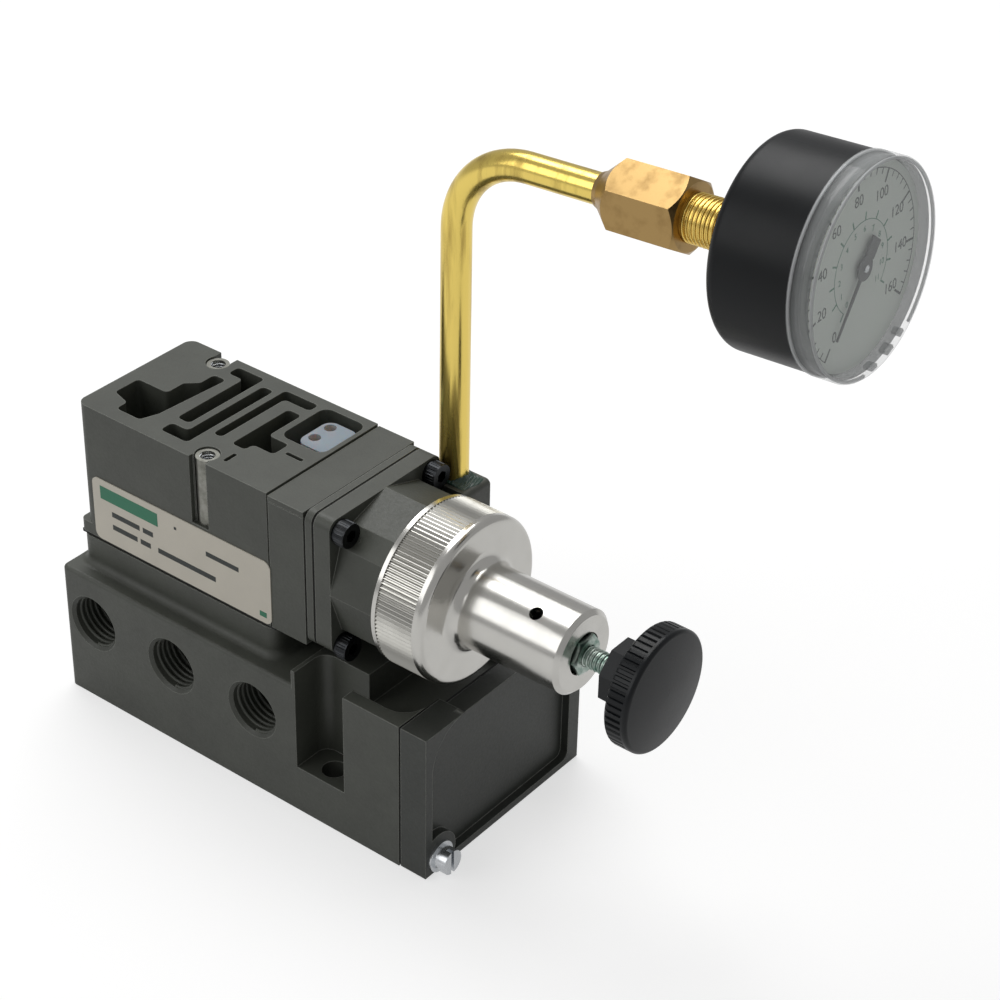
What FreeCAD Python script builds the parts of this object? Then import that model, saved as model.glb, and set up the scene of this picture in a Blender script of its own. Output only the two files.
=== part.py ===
"""Pneumatic pressure regulator on a ported base, with a gauge on a bent tube.

Millimetres. The origin is the centre of the base's underside, +X runs along the
adjusting screw towards the knob, the ported face looks towards -Y and +Z is up.
"""
import math
import os

import FreeCAD
import Part
import Sketcher
from FreeCAD import Placement, Rotation, Vector

# Driving sizes of the base and its end cover
BASE_SIZES = {
    "base_length": 100.0,
    "base_width": 54.0,
    "ledge_height": 33.7,
    "block_height": 37.9,
    "block_start": 20.0,
    "base_corner": 1.5,
    "ledge_edge": 0.9,
    "pad_left": -47.9,
    "pad_right": 11.4,
    "pad_rise": 7.6,
    "pad_corner": 3.0,
    "pad_foot": 1.8,
    "port_pitch": 24.5,
    "port_centre": -16.4,
    "rear_port_centre": -16.4,
    "port_height": 21.2,
    "port_radius": 6.3,
    "port_depth": 17.0,
    "rear_port_depth": 25.0,
    "port_mouth": 0.75,
    "passage_radius": 1.5,
    "supply_radius": 3.0,
    "supply_along": 3.5,
    "supply_drill": 4.2,
    "supply_reach": 24.5,
    "slot_width": 13.6,
    "slot_start": 21.0,
    "slot_reach": 9.5,
    "slot_floor": 12.0,
    "slot_corner": 3.0,
    "rear_slot_start": -48.4,
    "bolt_hole_radius": 2.8,
    "bolt_offset": 6.8,
    "bolt_inset": 4.6,
    "scoop_start": 33.8,
    "scoop_side": 3.3,
    "scoop_rear": 13.0,
    "scoop_depth": 8.0,
    "scoop_corner": 9.3,
    "cover_seal": 0.5,
    "cover_thickness": 6.9,
    "cover_lift": 0.3,
    "cover_width": 53.4,
    "notch_half": 14.2,
    "notch_depth": 2.4,
    "panel_depth": 2.0,
    "panel_corner": 10.6,
    "cover_screw_left": -22.6,
    "cover_screw_low": 4.2,
    "cover_screw_right": 20.5,
    "cover_screw_high": 33.2,
    "cover_boss": 5.6,
    "cover_thread": 1.7,
    "cover_thread_depth": 9.0,
    "cover_head_radius": 2.9,
    "cover_head_height": 3.0,
    "cover_driver_width": 0.9,
    "cover_driver_depth": 1.4,
    "washer_radius": 3.7,
    "washer_thickness": 0.8,
}

# Driving sizes of the regulator body and what is fixed to it
BODY_SIZES = {
    "seal_thickness": 0.8,
    "seal_inset": 0.35,
    "body_left": -45.8,
    "body_front": -22.2,
    "body_width": 35.4,
    "body_length": 66.1,
    "body_height": 34.3,
    "body_corner": 2.4,
    "foot_reach": 1.9,
    "foot_height": 2.9,
    "slab_length": 9.8,
    "slab_step": 0.4,
    "lip_drop": 1.3,
    "lip_groove": 0.4,
    "channel_depth": 9.0,
    "chamber_depth": 22.0,
    "channel_corner": 1.1,
    "clamp_front_along": -9.6,
    "clamp_front_across": -19.0,
    "clamp_rear_along": -33.9,
    "clamp_rear_across": 9.6,
    "clamp_radius": 2.6,
    "clamp_clearance": 0.2,
    "clamp_shank": 1.9,
    "clamp_seat_drop": 17.0,
    "clamp_recess": 0.4,
    "clamp_groove_width": 4.9,
    "clamp_groove_depth": 1.2,
    "clamp_thread": 1.7,
    "clamp_thread_depth": 10.0,
    "clamp_grip": 13.0,
    "label_length": 53.2,
    "label_height": 16.3,
    "label_start": 3.2,
    "label_lift": 0.3,
    "label_corner": 1.8,
    "label_thickness": 0.2,
    "insert_gap": 0.25,
    "insert_start": 2.9,
    "insert_drop": 1.3,
    "insert_height": 7.0,
    "insert_hole": 1.4,
}

# Driving sizes of the valve, the diaphragm stack, the bonnet and the adjuster
DRIVE_SIZES = {
    "axis_across": -4.5,
    "axis_rise": 16.4,
    "chamber_radius": 11.0,
    "chamber_reach": 3.8,
    "seat_radius": 6.4,
    "seat_length": 7.0,
    "seat_recess": 0.1,
    "orifice_radius": 2.6,
    "valve_radius": 5.0,
    "valve_reach": 21.3,
    "poppet_radius": 4.0,
    "poppet_height": 2.8,
    "poppet_face": 0.9,
    "seat_lip": 0.4,
    "rest_gap": 0.03,
    "stem_radius": 1.4,
    "outlet_radius": 1.2,
    "outlet_across": 4.5,
    "outlet_rise": 8.4,
    "outlet_length": 12.5,
    "sense_radius": 1.2,
    "sense_across": 13.7,
    "sense_rise": 5.0,
    "sense_depth": 1.5,
    "bore_clearance": 0.05,
    "plate_seal": 0.5,
    "plate_thickness": 1.8,
    "diaphragm_thickness": 0.6,
    "flange_thickness": 4.3,
    "flange_drop": 0.5,
    "cap_screw_pitch": 29.0,
    "cap_screw_radius": 1.45,
    "cap_screw_depth": 9.5,
    "cap_head_radius": 2.75,
    "cap_head_height": 3.2,
    "cap_socket": 2.5,
    "neck_radius": 17.9,
    "neck_gap": 0.5,
    "neck_flat": 9.0,
    "thread_radius": 16.5,
    "bonnet_bore": 13.0,
    "ear_reach": 8.2,
    "ear_width": 8.1,
    "ear_top": 10.7,
    "ear_depth": 15.0,
    "ear_corner": 1.2,
    "collar_gap": 12.2,
    "collar_radius": 19.0,
    "collar_length": 13.1,
    "collar_round": 1.6,
    "collar_depth": 8.4,
    "knurl_depth": 0.35,
    "knurl_start": 1.0,
    "knurl_length": 9.7,
    "cap_fillet": 2.5,
    "cap_tube_radius": 9.45,
    "cap_tube_length": 27.3,
    "cap_tube_bore": 7.2,
    "cap_end_wall": 4.1,
    "cap_end_chamfer": 1.0,
    "cap_hole": 2.6,
    "vent_radius": 1.5,
    "vent_setback": 9.1,
    "vent_angle": 28.0,
    "nut_flats": 8.0,
    "nut_height": 3.3,
    "nut_recess": 2.2,
    "nut_clearance": 0.15,
    "screw_radius": 2.1,
    "screw_crest": 0.35,
    "screw_gap": 7.5,
    "knob_hub_radius": 7.3,
    "knob_hub_length": 6.0,
    "knob_radius": 13.5,
    "knob_length": 5.6,
    "knob_dome": 0.9,
    "knob_teeth": 54.0,
    "knob_flute": 0.45,
    "knob_grip": 8.5,
    "spring_radius": 5.0,
    "spring_wire": 0.95,
    "spring_turns": 8.0,
    "spigot_radius": 3.6,
    "spigot_length": 2.4,
    "upper_seat_thickness": 2.6,
    "upper_seat_along": 64.0,
    "guide_clearance": 0.08,
    "lower_seat_radius": 10.2,
    "lower_seat_thickness": 1.7,
    "valve_spring_radius": 3.3,
    "valve_spring_wire": 0.4,
    "valve_spring_turns": 4.5,
}

# Driving sizes of the tube, its fitting and the gauge
GAUGE_SIZES = {
    "tube_out": 1.3,
    "tube_across": 16.45,
    "tube_radius": 3.25,
    "tube_wall": 0.8,
    "tube_bend": 19.4,
    "tube_grip": 4.5,
    "gauge_height": 147.5,
    "gauge_tilt": 3.8,
    "sealant_height": 1.1,
    "sealant_spread": 0.2,
    "fitting_start": 36.85,
    "fitting_flats": 14.1,
    "fitting_length": 20.35,
    "fitting_nose": 1.0,
    "fitting_nose_radius": 4.0,
    "fitting_cone": 4.9,
    "fitting_socket": 10.45,
    "gauge_stem_radius": 4.8,
    "gauge_stem_grip": 8.0,
    "gauge_block_width": 8.0,
    "gauge_block_length": 9.0,
    "gauge_block_drop": 14.6,
    "case_start": 73.3,
    "case_radius": 21.0,
    "case_length": 18.0,
    "case_wall": 2.0,
    "case_round": 2.2,
    "case_spigot": 1.8,
    "lens_radius": 21.3,
    "lens_wall": 1.2,
    "lens_height": 5.5,
    "lens_face": 1.2,
    "lens_round": 0.8,
    "lens_gap": 0.1,
    "dial_thickness": 0.5,
    "coil_radius": 12.6,
    "coil_tube": 1.3,
    "coil_sweep": 255.0,
    "movement_size": 15.0,
    "movement_thickness": 1.2,
    "movement_post": 1.0,
    "spindle_radius": 0.7,
    "pointer_lift": 0.6,
    "pointer_thickness": 0.4,
    "pointer_reach": 14.2,
    "pointer_tail": 6.0,
    "pointer_width": 0.8,
    "pointer_tail_width": 3.2,
    "pointer_hub": 2.4,
    "pointer_angle": 232.0,
}


class Size:
    """A number kept together with the spreadsheet expression that gives it."""

    def __init__(self, number, text=None):
        self.number = float(number)
        self.text = text if text is not None else repr(float(number))

    def __add__(self, other):
        other = as_size(other)
        return Size(self.number + other.number, f"({self.text} + {other.text})")

    def __sub__(self, other):
        other = as_size(other)
        return Size(self.number - other.number, f"({self.text} - {other.text})")

    def __mul__(self, other):
        other = as_size(other)
        return Size(self.number * other.number, f"({self.text} * {other.text})")

    def __truediv__(self, other):
        other = as_size(other)
        return Size(self.number / other.number, f"({self.text} / {other.text})")

    def __neg__(self):
        return Size(-self.number, f"(0 - {self.text})")

    def __radd__(self, other):
        return as_size(other) + self

    def __rsub__(self, other):
        return as_size(other) - self

    def __rmul__(self, other):
        return as_size(other) * self


def as_size(value):
    return value if isinstance(value, Size) else Size(value)


def cosine(angle):
    return Size(math.cos(math.radians(angle.number)), f"cos({angle.text} * 1 deg)")


def sine(angle):
    return Size(math.sin(math.radians(angle.number)), f"sin({angle.text} * 1 deg)")


def tangent(angle):
    return Size(math.tan(math.radians(angle.number)), f"tan({angle.text} * 1 deg)")


class Sizes:
    """The spreadsheet's aliases as attributes."""

    def __init__(self, sheet, values):
        for row, (name, number) in enumerate(values.items(), start=1):
            sheet.set(f"A{row}", name.replace("_", " "))
            sheet.set(f"B{row}", str(number))
            sheet.setAlias(f"B{row}", name)
            setattr(self, name, Size(number, f"Sizes.{name}"))


doc = FreeCAD.newDocument("PressureRegulator")
sheet = doc.addObject("Spreadsheet::Sheet", "Sizes")
size = Sizes(sheet, {**BASE_SIZES, **BODY_SIZES, **DRIVE_SIZES, **GAUGE_SIZES})
doc.recompute()

# Places that several pieces share, worked out from the driving sizes
base_right = size.base_length / 2
base_front = -(size.base_width / 2)
pad_top = size.ledge_height + size.pad_rise
body_bottom = pad_top + size.seal_thickness
body_top = body_bottom + size.body_height
axis_height = body_bottom + size.axis_rise
body_right = size.body_left + size.body_length
body_rear = size.body_front + size.body_width
clamp_seat = body_top - size.clamp_seat_drop
clamps = [
    (size.clamp_front_along, size.clamp_front_across),
    (size.clamp_rear_along, size.clamp_rear_across),
]
cap_screws = [
    (size.axis_across + side * size.cap_screw_pitch / 2, axis_height + level * size.cap_screw_pitch / 2)
    for side in (-1, 1)
    for level in (-1, 1)
]
passages = [
    (size.port_centre - size.port_pitch + 2.5, size.body_front + 11.2),
    (size.port_centre - 2.4, size.body_front + 5.4),
    (size.rear_port_centre - size.port_pitch / 2 - 0.45, size.body_front + 25.2),
    (size.rear_port_centre + size.port_pitch / 2 - 2.4, size.body_front + 25.2),
]
supply = (size.supply_along, size.axis_across)
plate_start = body_right + size.plate_seal
diaphragm_start = plate_start + size.plate_thickness
bonnet_start = diaphragm_start + size.diaphragm_thickness
flange_end = bonnet_start + size.flange_thickness
collar_start = flange_end + size.collar_gap
neck_end = collar_start - size.neck_gap
ear_end = flange_end + size.ear_reach
tube_along = flange_end + size.tube_out
collar_end = collar_start + size.collar_length
cap_end = collar_end + size.cap_tube_length
nut_start = cap_end - size.nut_recess
nut_end = nut_start + size.nut_height
knob_start = nut_end + size.screw_gap
head_start = knob_start + size.knob_hub_length
head_end = head_start + size.knob_length
seat_start = body_right - size.chamber_reach - size.seat_recess - size.seat_length
face_end = seat_start - size.rest_gap
poppet_end = face_end - size.poppet_face
poppet_start = poppet_end - size.poppet_height
valve_end = body_right - size.valve_reach
cover_start = base_right + size.cover_seal
cover_end = cover_start + size.cover_thickness
cover_screws = [
    (size.cover_screw_left, size.cover_screw_low),
    (size.cover_screw_right, size.cover_screw_high),
]
case_end = size.case_start + size.case_length
lens_end = case_end + size.lens_height
dial_start = case_end + size.case_spigot
dial_front = dial_start + size.dial_thickness
pointer_start = dial_front + size.pointer_lift
block_end = size.case_start + size.case_wall + size.gauge_block_length
movement_end = block_end + size.movement_thickness

PLANES = {"top": ("XY_Plane", 1), "front": ("XZ_Plane", -1), "side": ("YZ_Plane", 1)}
finished = []


def bind(item, name, value):
    """Give a property its number and the expression that keeps it up to date."""
    value = as_size(value)
    item.setExpression(name, value.text)


def place(item, along=0, across=0, height=0, rotation=None):
    item.Placement = Placement(Vector(0, 0, 0), rotation or Rotation())
    for letter, value in zip("xyz", (along, across, height)):
        bind(item, f"Placement.Base.{letter}", value)


def place_on_axis(item, along=0, rotation=None):
    place(item, along, size.axis_across, axis_height, rotation)


def place_on_gauge(item):
    """Put a piece drawn along its own X on the gauge's tilted axis."""
    tilt = Rotation(Vector(0, -1, 0), size.gauge_tilt.number)
    place(item, tube_along, size.tube_across, size.gauge_height, tilt)
    bind(item, "Placement.Rotation.Angle", size.gauge_tilt)


def new_body(name):
    return doc.addObject("PartDesign::Body", name)


def origin_plane(body, role):
    return next(item for item in body.Origin.OriginFeatures if item.Role == role)


def new_sketch(body, name, plane, level=0):
    role, sign = PLANES[plane]
    sketch = body.newObject("Sketcher::SketchObject", name)
    sketch.AttachmentSupport = (origin_plane(body, role), [""])
    sketch.MapMode = "FlatFace"
    level = as_size(level)
    bind(sketch, "AttachmentOffset.Base.z", level if sign > 0 else -level)
    return sketch


def pin_point(sketch, geometry, position, corner, name):
    """Tie one point of a sketch to the sheet."""
    found = []
    for letter, value in zip("XY", corner):
        value = as_size(value)
        index = sketch.addConstraint(
            Sketcher.Constraint(f"Distance{letter}", -1, 1, geometry, position, value.number)
        )
        sketch.renameConstraint(index, f"{name}{letter}")
        bind(sketch, f"Constraints.{name}{letter}", value)
        found.append(index)
    return found


def arc_between(start, end, radius, turn):
    """Circle arc from start to end; turn is 1 to the left and -1 to the right."""
    chord = end - start
    half = chord.Length / 2
    normal = Vector(-chord.y, chord.x, 0).normalize() * turn
    centre = (start + end) / 2 + normal * math.sqrt(max(radius * radius - half * half, 0))
    first, last = (start, end) if turn > 0 else (end, start)
    angles = [math.atan2(point.y - centre.y, point.x - centre.x) for point in (first, last)]
    return Part.ArcOfCircle(Part.Circle(centre, Vector(0, 0, 1), radius), angles[0], angles[1])


def draw_outline(sketch, corners):
    """Close a loop; a corner with a radius and a turn is reached along an arc."""
    points = [Vector(as_size(c[0]).number, as_size(c[1]).number, 0) for c in corners]
    ends = []
    for number, corner in enumerate(corners):
        start, end = points[number - 1], points[number]
        if len(corner) == 4:
            curve = sketch.addGeometry(arc_between(start, end, as_size(corner[2]).number, corner[3]), False)
            ends.append((curve, 2 if corner[3] > 0 else 1, 1 if corner[3] > 0 else 2))
        else:
            curve = sketch.addGeometry(Part.LineSegment(start, end), False)
            ends.append((curve, 2, 1))
    for number, corner in enumerate(corners):
        curve, last, _ = ends[number]
        following, _, first = ends[(number + 1) % len(corners)]
        sketch.addConstraint(Sketcher.Constraint("Coincident", curve, last, following, first))
        pin_point(sketch, curve, last, corner[:2], f"corner{number}")
        if len(corner) == 4:
            radius = as_size(corner[2])
            index = sketch.addConstraint(Sketcher.Constraint("Radius", curve, radius.number))
            sketch.renameConstraint(index, f"arc{number}")
            bind(sketch, f"Constraints.arc{number}", radius)


def draw_circle(sketch, centre, radius, name="round"):
    middle = Vector(as_size(centre[0]).number, as_size(centre[1]).number, 0)
    radius = as_size(radius)
    curve = sketch.addGeometry(Part.Circle(middle, Vector(0, 0, 1), radius.number), False)
    pin_point(sketch, curve, 3, centre, name)
    index = sketch.addConstraint(Sketcher.Constraint("Radius", curve, radius.number))
    sketch.renameConstraint(index, f"{name}Radius")
    bind(sketch, f"Constraints.{name}Radius", radius)


def rectangle(left, low, right, high):
    return [(left, low), (right, low), (right, high), (left, high)]


def grow(body, sketch, length, towards=1):
    """Pad a sketch along its plane's own direction, or against it."""
    sign = PLANES_BY_ROLE[sketch.AttachmentSupport[0][0].Role]
    pad = body.newObject("PartDesign::Pad", "Pad")
    pad.Profile = sketch
    pad.Reversed = towards * sign < 0
    bind(pad, "Length", length)
    doc.recompute()
    return pad


def sink(body, sketch, depth, towards=-1):
    """Pocket a sketch along its plane's own direction, or against it."""
    sign = PLANES_BY_ROLE[sketch.AttachmentSupport[0][0].Role]
    pocket = body.newObject("PartDesign::Pocket", "Pocket")
    pocket.Profile = sketch
    pocket.Reversed = towards * sign > 0
    bind(pocket, "Length", depth)
    doc.recompute()
    return pocket


PLANES_BY_ROLE = {role: sign for role, sign in PLANES.values()}


def grow_outline(body, name, plane, level, corners, length, towards=1):
    sketch = new_sketch(body, name, plane, level)
    draw_outline(sketch, corners)
    return grow(body, sketch, length, towards)


def sink_outline(body, name, plane, level, corners, depth, towards=-1):
    sketch = new_sketch(body, name, plane, level)
    draw_outline(sketch, corners)
    return sink(body, sketch, depth, towards)


def sink_holes(body, name, plane, level, centres, radius, depth, towards=-1):
    sketch = new_sketch(body, name, plane, level)
    for number, centre in enumerate(centres):
        draw_circle(sketch, centre, radius, f"hole{number}")
    return sink(body, sketch, depth, towards)


def spin(body, name, corners):
    """Turn an outline of (along, radius) corners about the body's X axis."""
    sketch = new_sketch(body, name, "front")
    draw_outline(sketch, corners)
    turned = body.newObject("PartDesign::Revolution", "Turned")
    turned.Profile = sketch
    turned.ReferenceAxis = (sketch, ["H_Axis"])
    turned.Angle = 360.0
    doc.recompute()
    return turned


def spin_away(body, name, corners):
    sketch = new_sketch(body, name, "front")
    draw_outline(sketch, corners)
    groove = body.newObject("PartDesign::Groove", "Groove")
    groove.Profile = sketch
    groove.ReferenceAxis = (sketch, ["H_Axis"])
    groove.Angle = 360.0
    doc.recompute()
    return groove


def edge_names(feature, wanted):
    return [f"Edge{n}" for n, edge in enumerate(feature.Shape.Edges, start=1) if wanted(edge)]


def round_edges(body, radius, wanted, kind="Fillet"):
    feature = body.Tip
    dressed = body.newObject(f"PartDesign::{kind}", kind)
    dressed.Base = (feature, edge_names(feature, wanted))
    bind(dressed, "Radius" if kind == "Fillet" else "Size", radius)
    doc.recompute()
    if dressed.Shape.isNull() or not dressed.Shape.isValid():
        raise RuntimeError(f"{body.Name}: rounding after {feature.Name} failed")
    return dressed


def upright(edge):
    """A straight edge that runs along Z."""
    box = edge.BoundBox
    return edge.Curve.TypeId == "Part::GeomLine" and box.XLength < 1e-4 and box.YLength < 1e-4


def near(value, place_value):
    return abs(value - as_size(place_value).number) < 1e-3


def within(edge, left, right, front, rear):
    centre = edge.BoundBox.Center
    limits = [as_size(v).number for v in (left, right, front, rear)]
    return limits[0] < centre.x < limits[1] and limits[2] < centre.y < limits[3]


def keep(item, label):
    item.Label = label
    finished.append(item)
    return item


def boolean(kind, name, base, tool):
    result = doc.addObject(f"Part::{kind}", name)
    result.Base = base
    result.Tool = tool
    doc.recompute()
    return result


def join(name, pieces):
    result = doc.addObject("Part::MultiFuse", name)
    result.Shapes = pieces
    doc.recompute()
    return result


def cylinder(name, radius, height):
    item = doc.addObject("Part::Cylinder", name)
    bind(item, "Radius", radius)
    bind(item, "Height", height)
    return item


def prism(name, sides, corner_radius, height):
    item = doc.addObject("Part::Prism", name)
    item.Polygon = sides
    bind(item, "Circumradius", corner_radius)
    bind(item, "Height", height)
    return item


ALONG_X = Rotation(Vector(0, 1, 0), 90)
HEX_CORNER = 1 / math.cos(math.radians(30))


def named_cylinder(name, radius, height, along, across, level, rotation=None):
    item = cylinder(name, radius, height)
    place(item, along, across, level, rotation)
    return item


def rod_along_x(name, radius, start, end, across, level):
    return named_cylinder(name, radius, end - start, start, across, level, ALONG_X)


def base_block():
    body = new_body("BaseBlock")
    half = size.base_width / 2
    grow_outline(body, "Block", "top", 0, rectangle(-base_right, -half, base_right, half), size.ledge_height)
    round_edges(body, size.base_corner, lambda e: upright(e) and e.BoundBox.Center.x < 0)
    raised = rectangle(size.block_start, -half, base_right, half)
    grow_outline(body, "EndBlock", "top", size.ledge_height, raised, size.block_height - size.ledge_height)
    pad = rectangle(size.pad_left, size.body_front, size.pad_right, body_rear)
    grow_outline(body, "Pad", "top", size.ledge_height, pad, size.pad_rise)
    round_edges(
        body, size.pad_corner,
        lambda e: upright(e) and within(e, size.pad_left - 1, size.pad_right + 1, size.body_front - 1, body_rear + 1),
    )
    round_edges(body, size.pad_foot, is_pad_foot)
    slot = size.slot_start
    slot_rear = base_front + size.slot_reach
    cut_slot(body, "FrontSlot", slot, slot + size.slot_width, base_front, slot_rear, size.block_height)
    rear = size.rear_slot_start
    cut_slot(body, "RearSlot", rear, rear + size.slot_width, half, half - size.slot_reach, size.ledge_height)
    bolts = [
        (slot + size.bolt_offset, base_front + size.bolt_inset),
        (rear + size.bolt_offset, half - size.bolt_inset),
    ]
    sink_holes(body, "BoltHoles", "top", size.slot_floor, bolts, size.bolt_hole_radius, size.slot_floor)
    cut_scoop(body)
    cut_ports(body)
    sink_holes(body, "ClampHoles", "top", pad_top, clamps, size.clamp_shank + size.bore_clearance, size.clamp_grip)
    sink_holes(body, "CoverHoles", "side", base_right, cover_screws, size.cover_thread, size.cover_thread_depth)
    round_edges(body, size.ledge_edge, is_ledge_edge)
    keep(body, "base_block")


def is_pad_foot(edge):
    box = edge.BoundBox
    return (
        near(box.ZMin, size.ledge_height)
        and near(box.ZMax, size.ledge_height)
        and within(edge, size.pad_left - 1, size.pad_right + 1, size.body_front - 1, body_rear + 1)
    )


def is_ledge_edge(edge):
    box = edge.BoundBox
    along_front = near(box.YMin, base_front) and near(box.YMax, base_front)
    at_end = near(box.XMin, -base_right) and near(box.XMax, -base_right)
    level = near(box.ZMin, size.ledge_height) and near(box.ZMax, size.ledge_height)
    return level and (along_front or at_end) and box.DiagonalLength > 5


def cut_slot(body, name, left, right, mouth, inner, top):
    """A mounting slot open to one side and to the top, its inner corners rounded."""
    corner = size.slot_corner
    inward = 1 if inner.number > mouth.number else -1
    turn = -inward
    step = corner * inward
    outline = [
        (left, mouth),
        (left, inner - step),
        (left + corner, inner, corner, turn),
        (right - 0.6, inner),
        (right, inner - 0.6 * inward, 0.6, turn),
        (right, mouth),
    ]
    sink_outline(body, name, "top", top, outline, top - size.slot_floor)


def cut_scoop(body):
    """The hollow under the adjusting collar, open towards the end cover."""
    corner = size.scoop_corner - size.scoop_side
    front = base_front + size.scoop_side
    outline = [
        (size.scoop_start, size.scoop_rear),
        (size.scoop_start, front),
        (base_right - corner, front),
        (base_right, front + corner, corner, 1),
        (base_right, size.scoop_rear),
    ]
    sink_outline(body, "Scoop", "top", size.block_height, outline, size.scoop_depth)


def front_ports():
    return [(size.port_centre + size.port_pitch * n, size.port_height) for n in (-1, 0, 1)]


def rear_ports():
    return [(size.rear_port_centre + size.port_pitch * n, size.port_height) for n in (-0.5, 0.5)]


def cut_ports(body):
    half = size.base_width / 2
    sink_holes(body, "FrontPorts", "front", base_front, front_ports(), size.port_radius, size.port_depth, 1)
    sink_holes(body, "RearPorts", "front", half, rear_ports(), size.port_radius, size.rear_port_depth, -1)
    round_edges(body, size.port_mouth, is_port_mouth, "Chamfer")
    drill = [front_ports()[2]]
    sink_holes(body, "SupplyDrill", "front", base_front, drill, size.supply_drill, size.supply_reach, 1)
    drop = pad_top - size.port_height
    sink_holes(body, "Passages", "top", pad_top, passages, size.passage_radius, drop)
    sink_holes(body, "Supply", "top", pad_top, [supply], size.supply_radius, drop)


def is_port_mouth(edge):
    box = edge.BoundBox
    half = size.base_width.number / 2
    return (
        edge.Curve.TypeId == "Part::GeomCircle"
        and box.YLength < 1e-4
        and abs(abs(box.YMin) - half) < 1e-3
    )


def base_gasket():
    body = new_body("BaseGasket")
    inset = size.seal_inset
    shape = rectangle(size.pad_left + inset, size.body_front + inset, size.pad_right - inset, body_rear - inset)
    grow_outline(body, "Sheet", "top", pad_top, shape, size.seal_thickness)
    sink_holes(body, "Passages", "top", body_bottom, passages, size.passage_radius, size.seal_thickness)
    sink_holes(body, "Supply", "top", body_bottom, [supply], size.supply_radius, size.seal_thickness)
    sink_holes(
        body, "Clamps", "top", body_bottom, clamps,
        size.clamp_shank + size.clamp_clearance, size.seal_thickness,
    )
    keep(body, "base_gasket")


def from_corner(points):
    """Corner points measured from the body's front left corner."""
    return [(size.body_left + along, size.body_front + across) for along, across in points]


# Plan shapes of the pockets in the body's top face, measured from its front left corner
EXHAUST_POCKET = [
    (3.5, 8.3), (8.6, 6.8), (8.6, 3.6), (15.6, 3.6), (17.2, 8.0), (18.6, 27.4),
    (15.0, 27.4), (15.0, 23.0), (12.3, 20.4), (12.3, 15.3), (3.5, 15.3),
]
LONG_CHANNEL = [(21.2, 9.4), (24.8, 9.4), (24.8, 33.2), (16.8, 33.2), (16.8, 29.9), (21.2, 29.9)]
FOOT_CHANNEL = [(21.9, 3.6), (29.8, 3.6), (29.8, 30.7), (26.6, 30.7), (26.6, 7.2), (21.9, 7.2)]
HOOK_CHANNEL = [(31.5, 9.8), (33.9, 9.8), (33.9, 29.7), (41.2, 29.7), (41.2, 32.7), (31.5, 32.7)]
BRANCH_CHANNEL = [
    (37.3, 9.4), (41.2, 9.4), (41.2, 11.9), (47.0, 11.9),
    (47.0, 16.8), (41.2, 16.8), (41.2, 27.2), (37.3, 27.2),
]
OUTLET_POCKET = [(42.8, 18.4), (54.8, 18.4), (54.8, 33.2), (42.8, 33.2)]
NARROW_SLOTS = [
    [(48.7, 13.6), (53.4, 13.6), (53.4, 14.6), (48.7, 14.6)],
    [(40.4, 3.4), (41.4, 3.4), (41.4, 7.0), (40.4, 7.0)],
]


def sink_channel(body, name, points, depth, corner):
    """Sink a pocket in the top face and round its upright corners."""
    outline = from_corner(points)
    before = body.Tip.Shape.Volume
    pocket = sink_outline(body, name, "top", body_top, outline, depth)
    if pocket.Shape.Volume >= before:
        raise RuntimeError(f"{name} removed nothing")
    spots = [(along.number, across.number) for along, across in outline]
    round_edges(body, corner, lambda e: upright(e) and any(
        abs(e.BoundBox.Center.x - x) < 1e-3 and abs(e.BoundBox.Center.y - y) < 1e-3 for x, y in spots))


def regulator_body():
    body = new_body("RegulatorBody")
    grow_outline(
        body, "Block", "top", body_bottom,
        rectangle(size.body_left, size.body_front, body_right - size.slab_length, body_rear), size.body_height,
    )
    grow_outline(
        body, "Slab", "top", body_bottom,
        rectangle(body_right - size.slab_length, size.body_front, body_right, body_rear),
        size.body_height - size.slab_step,
    )
    grow_outline(
        body, "Foot", "top", body_bottom,
        rectangle(size.body_left - size.foot_reach, size.body_front, size.body_left, body_rear), size.foot_height,
    )
    round_edges(body, size.body_corner, lambda e: upright(e) and near(e.BoundBox.XMin, size.body_left))
    foot_left = size.body_left - size.foot_reach
    round_edges(body, size.foot_reach * 0.8, lambda e: upright(e) and near(e.BoundBox.XMin, foot_left))
    cut_seam(body)
    cut_body_holes(body)
    sink_channel(body, "ExhaustPocket", EXHAUST_POCKET, size.chamber_depth, size.channel_corner)
    for name, points in (
        ("LongChannel", LONG_CHANNEL),
        ("FootChannel", FOOT_CHANNEL),
        ("HookChannel", HOOK_CHANNEL),
        ("BranchChannel", BRANCH_CHANNEL),
    ):
        sink_channel(body, name, points, size.channel_depth, size.channel_corner)
    sink_channel(body, "OutletPocket", OUTLET_POCKET, size.channel_depth, size.body_corner)
    for number, points in enumerate(NARROW_SLOTS):
        sink_channel(body, f"Slot{number}", points, size.channel_depth / 3, as_size(0.45))
    keep(body, "regulator_body")


def cut_seam(body):
    """The fine joint line round the end slab."""
    seam = body_right - size.slab_length
    groove = size.lip_groove
    front = size.body_front
    line = [(seam - groove, front), (seam, front), (seam, front + groove), (seam - groove, front + groove)]
    sink_outline(body, "FrontSeam", "top", body_top, line, size.body_height)
    top = rectangle(seam - groove, front, seam, body_rear)
    sink_outline(body, "TopSeam", "top", body_top, top, size.slab_step + groove)
    level = body_top - size.slab_step - size.lip_drop
    lip = rectangle(seam, level - groove / 2, body_right, level)
    sink_outline(body, "LipLine", "front", front, lip, groove / 2, 1)


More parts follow.
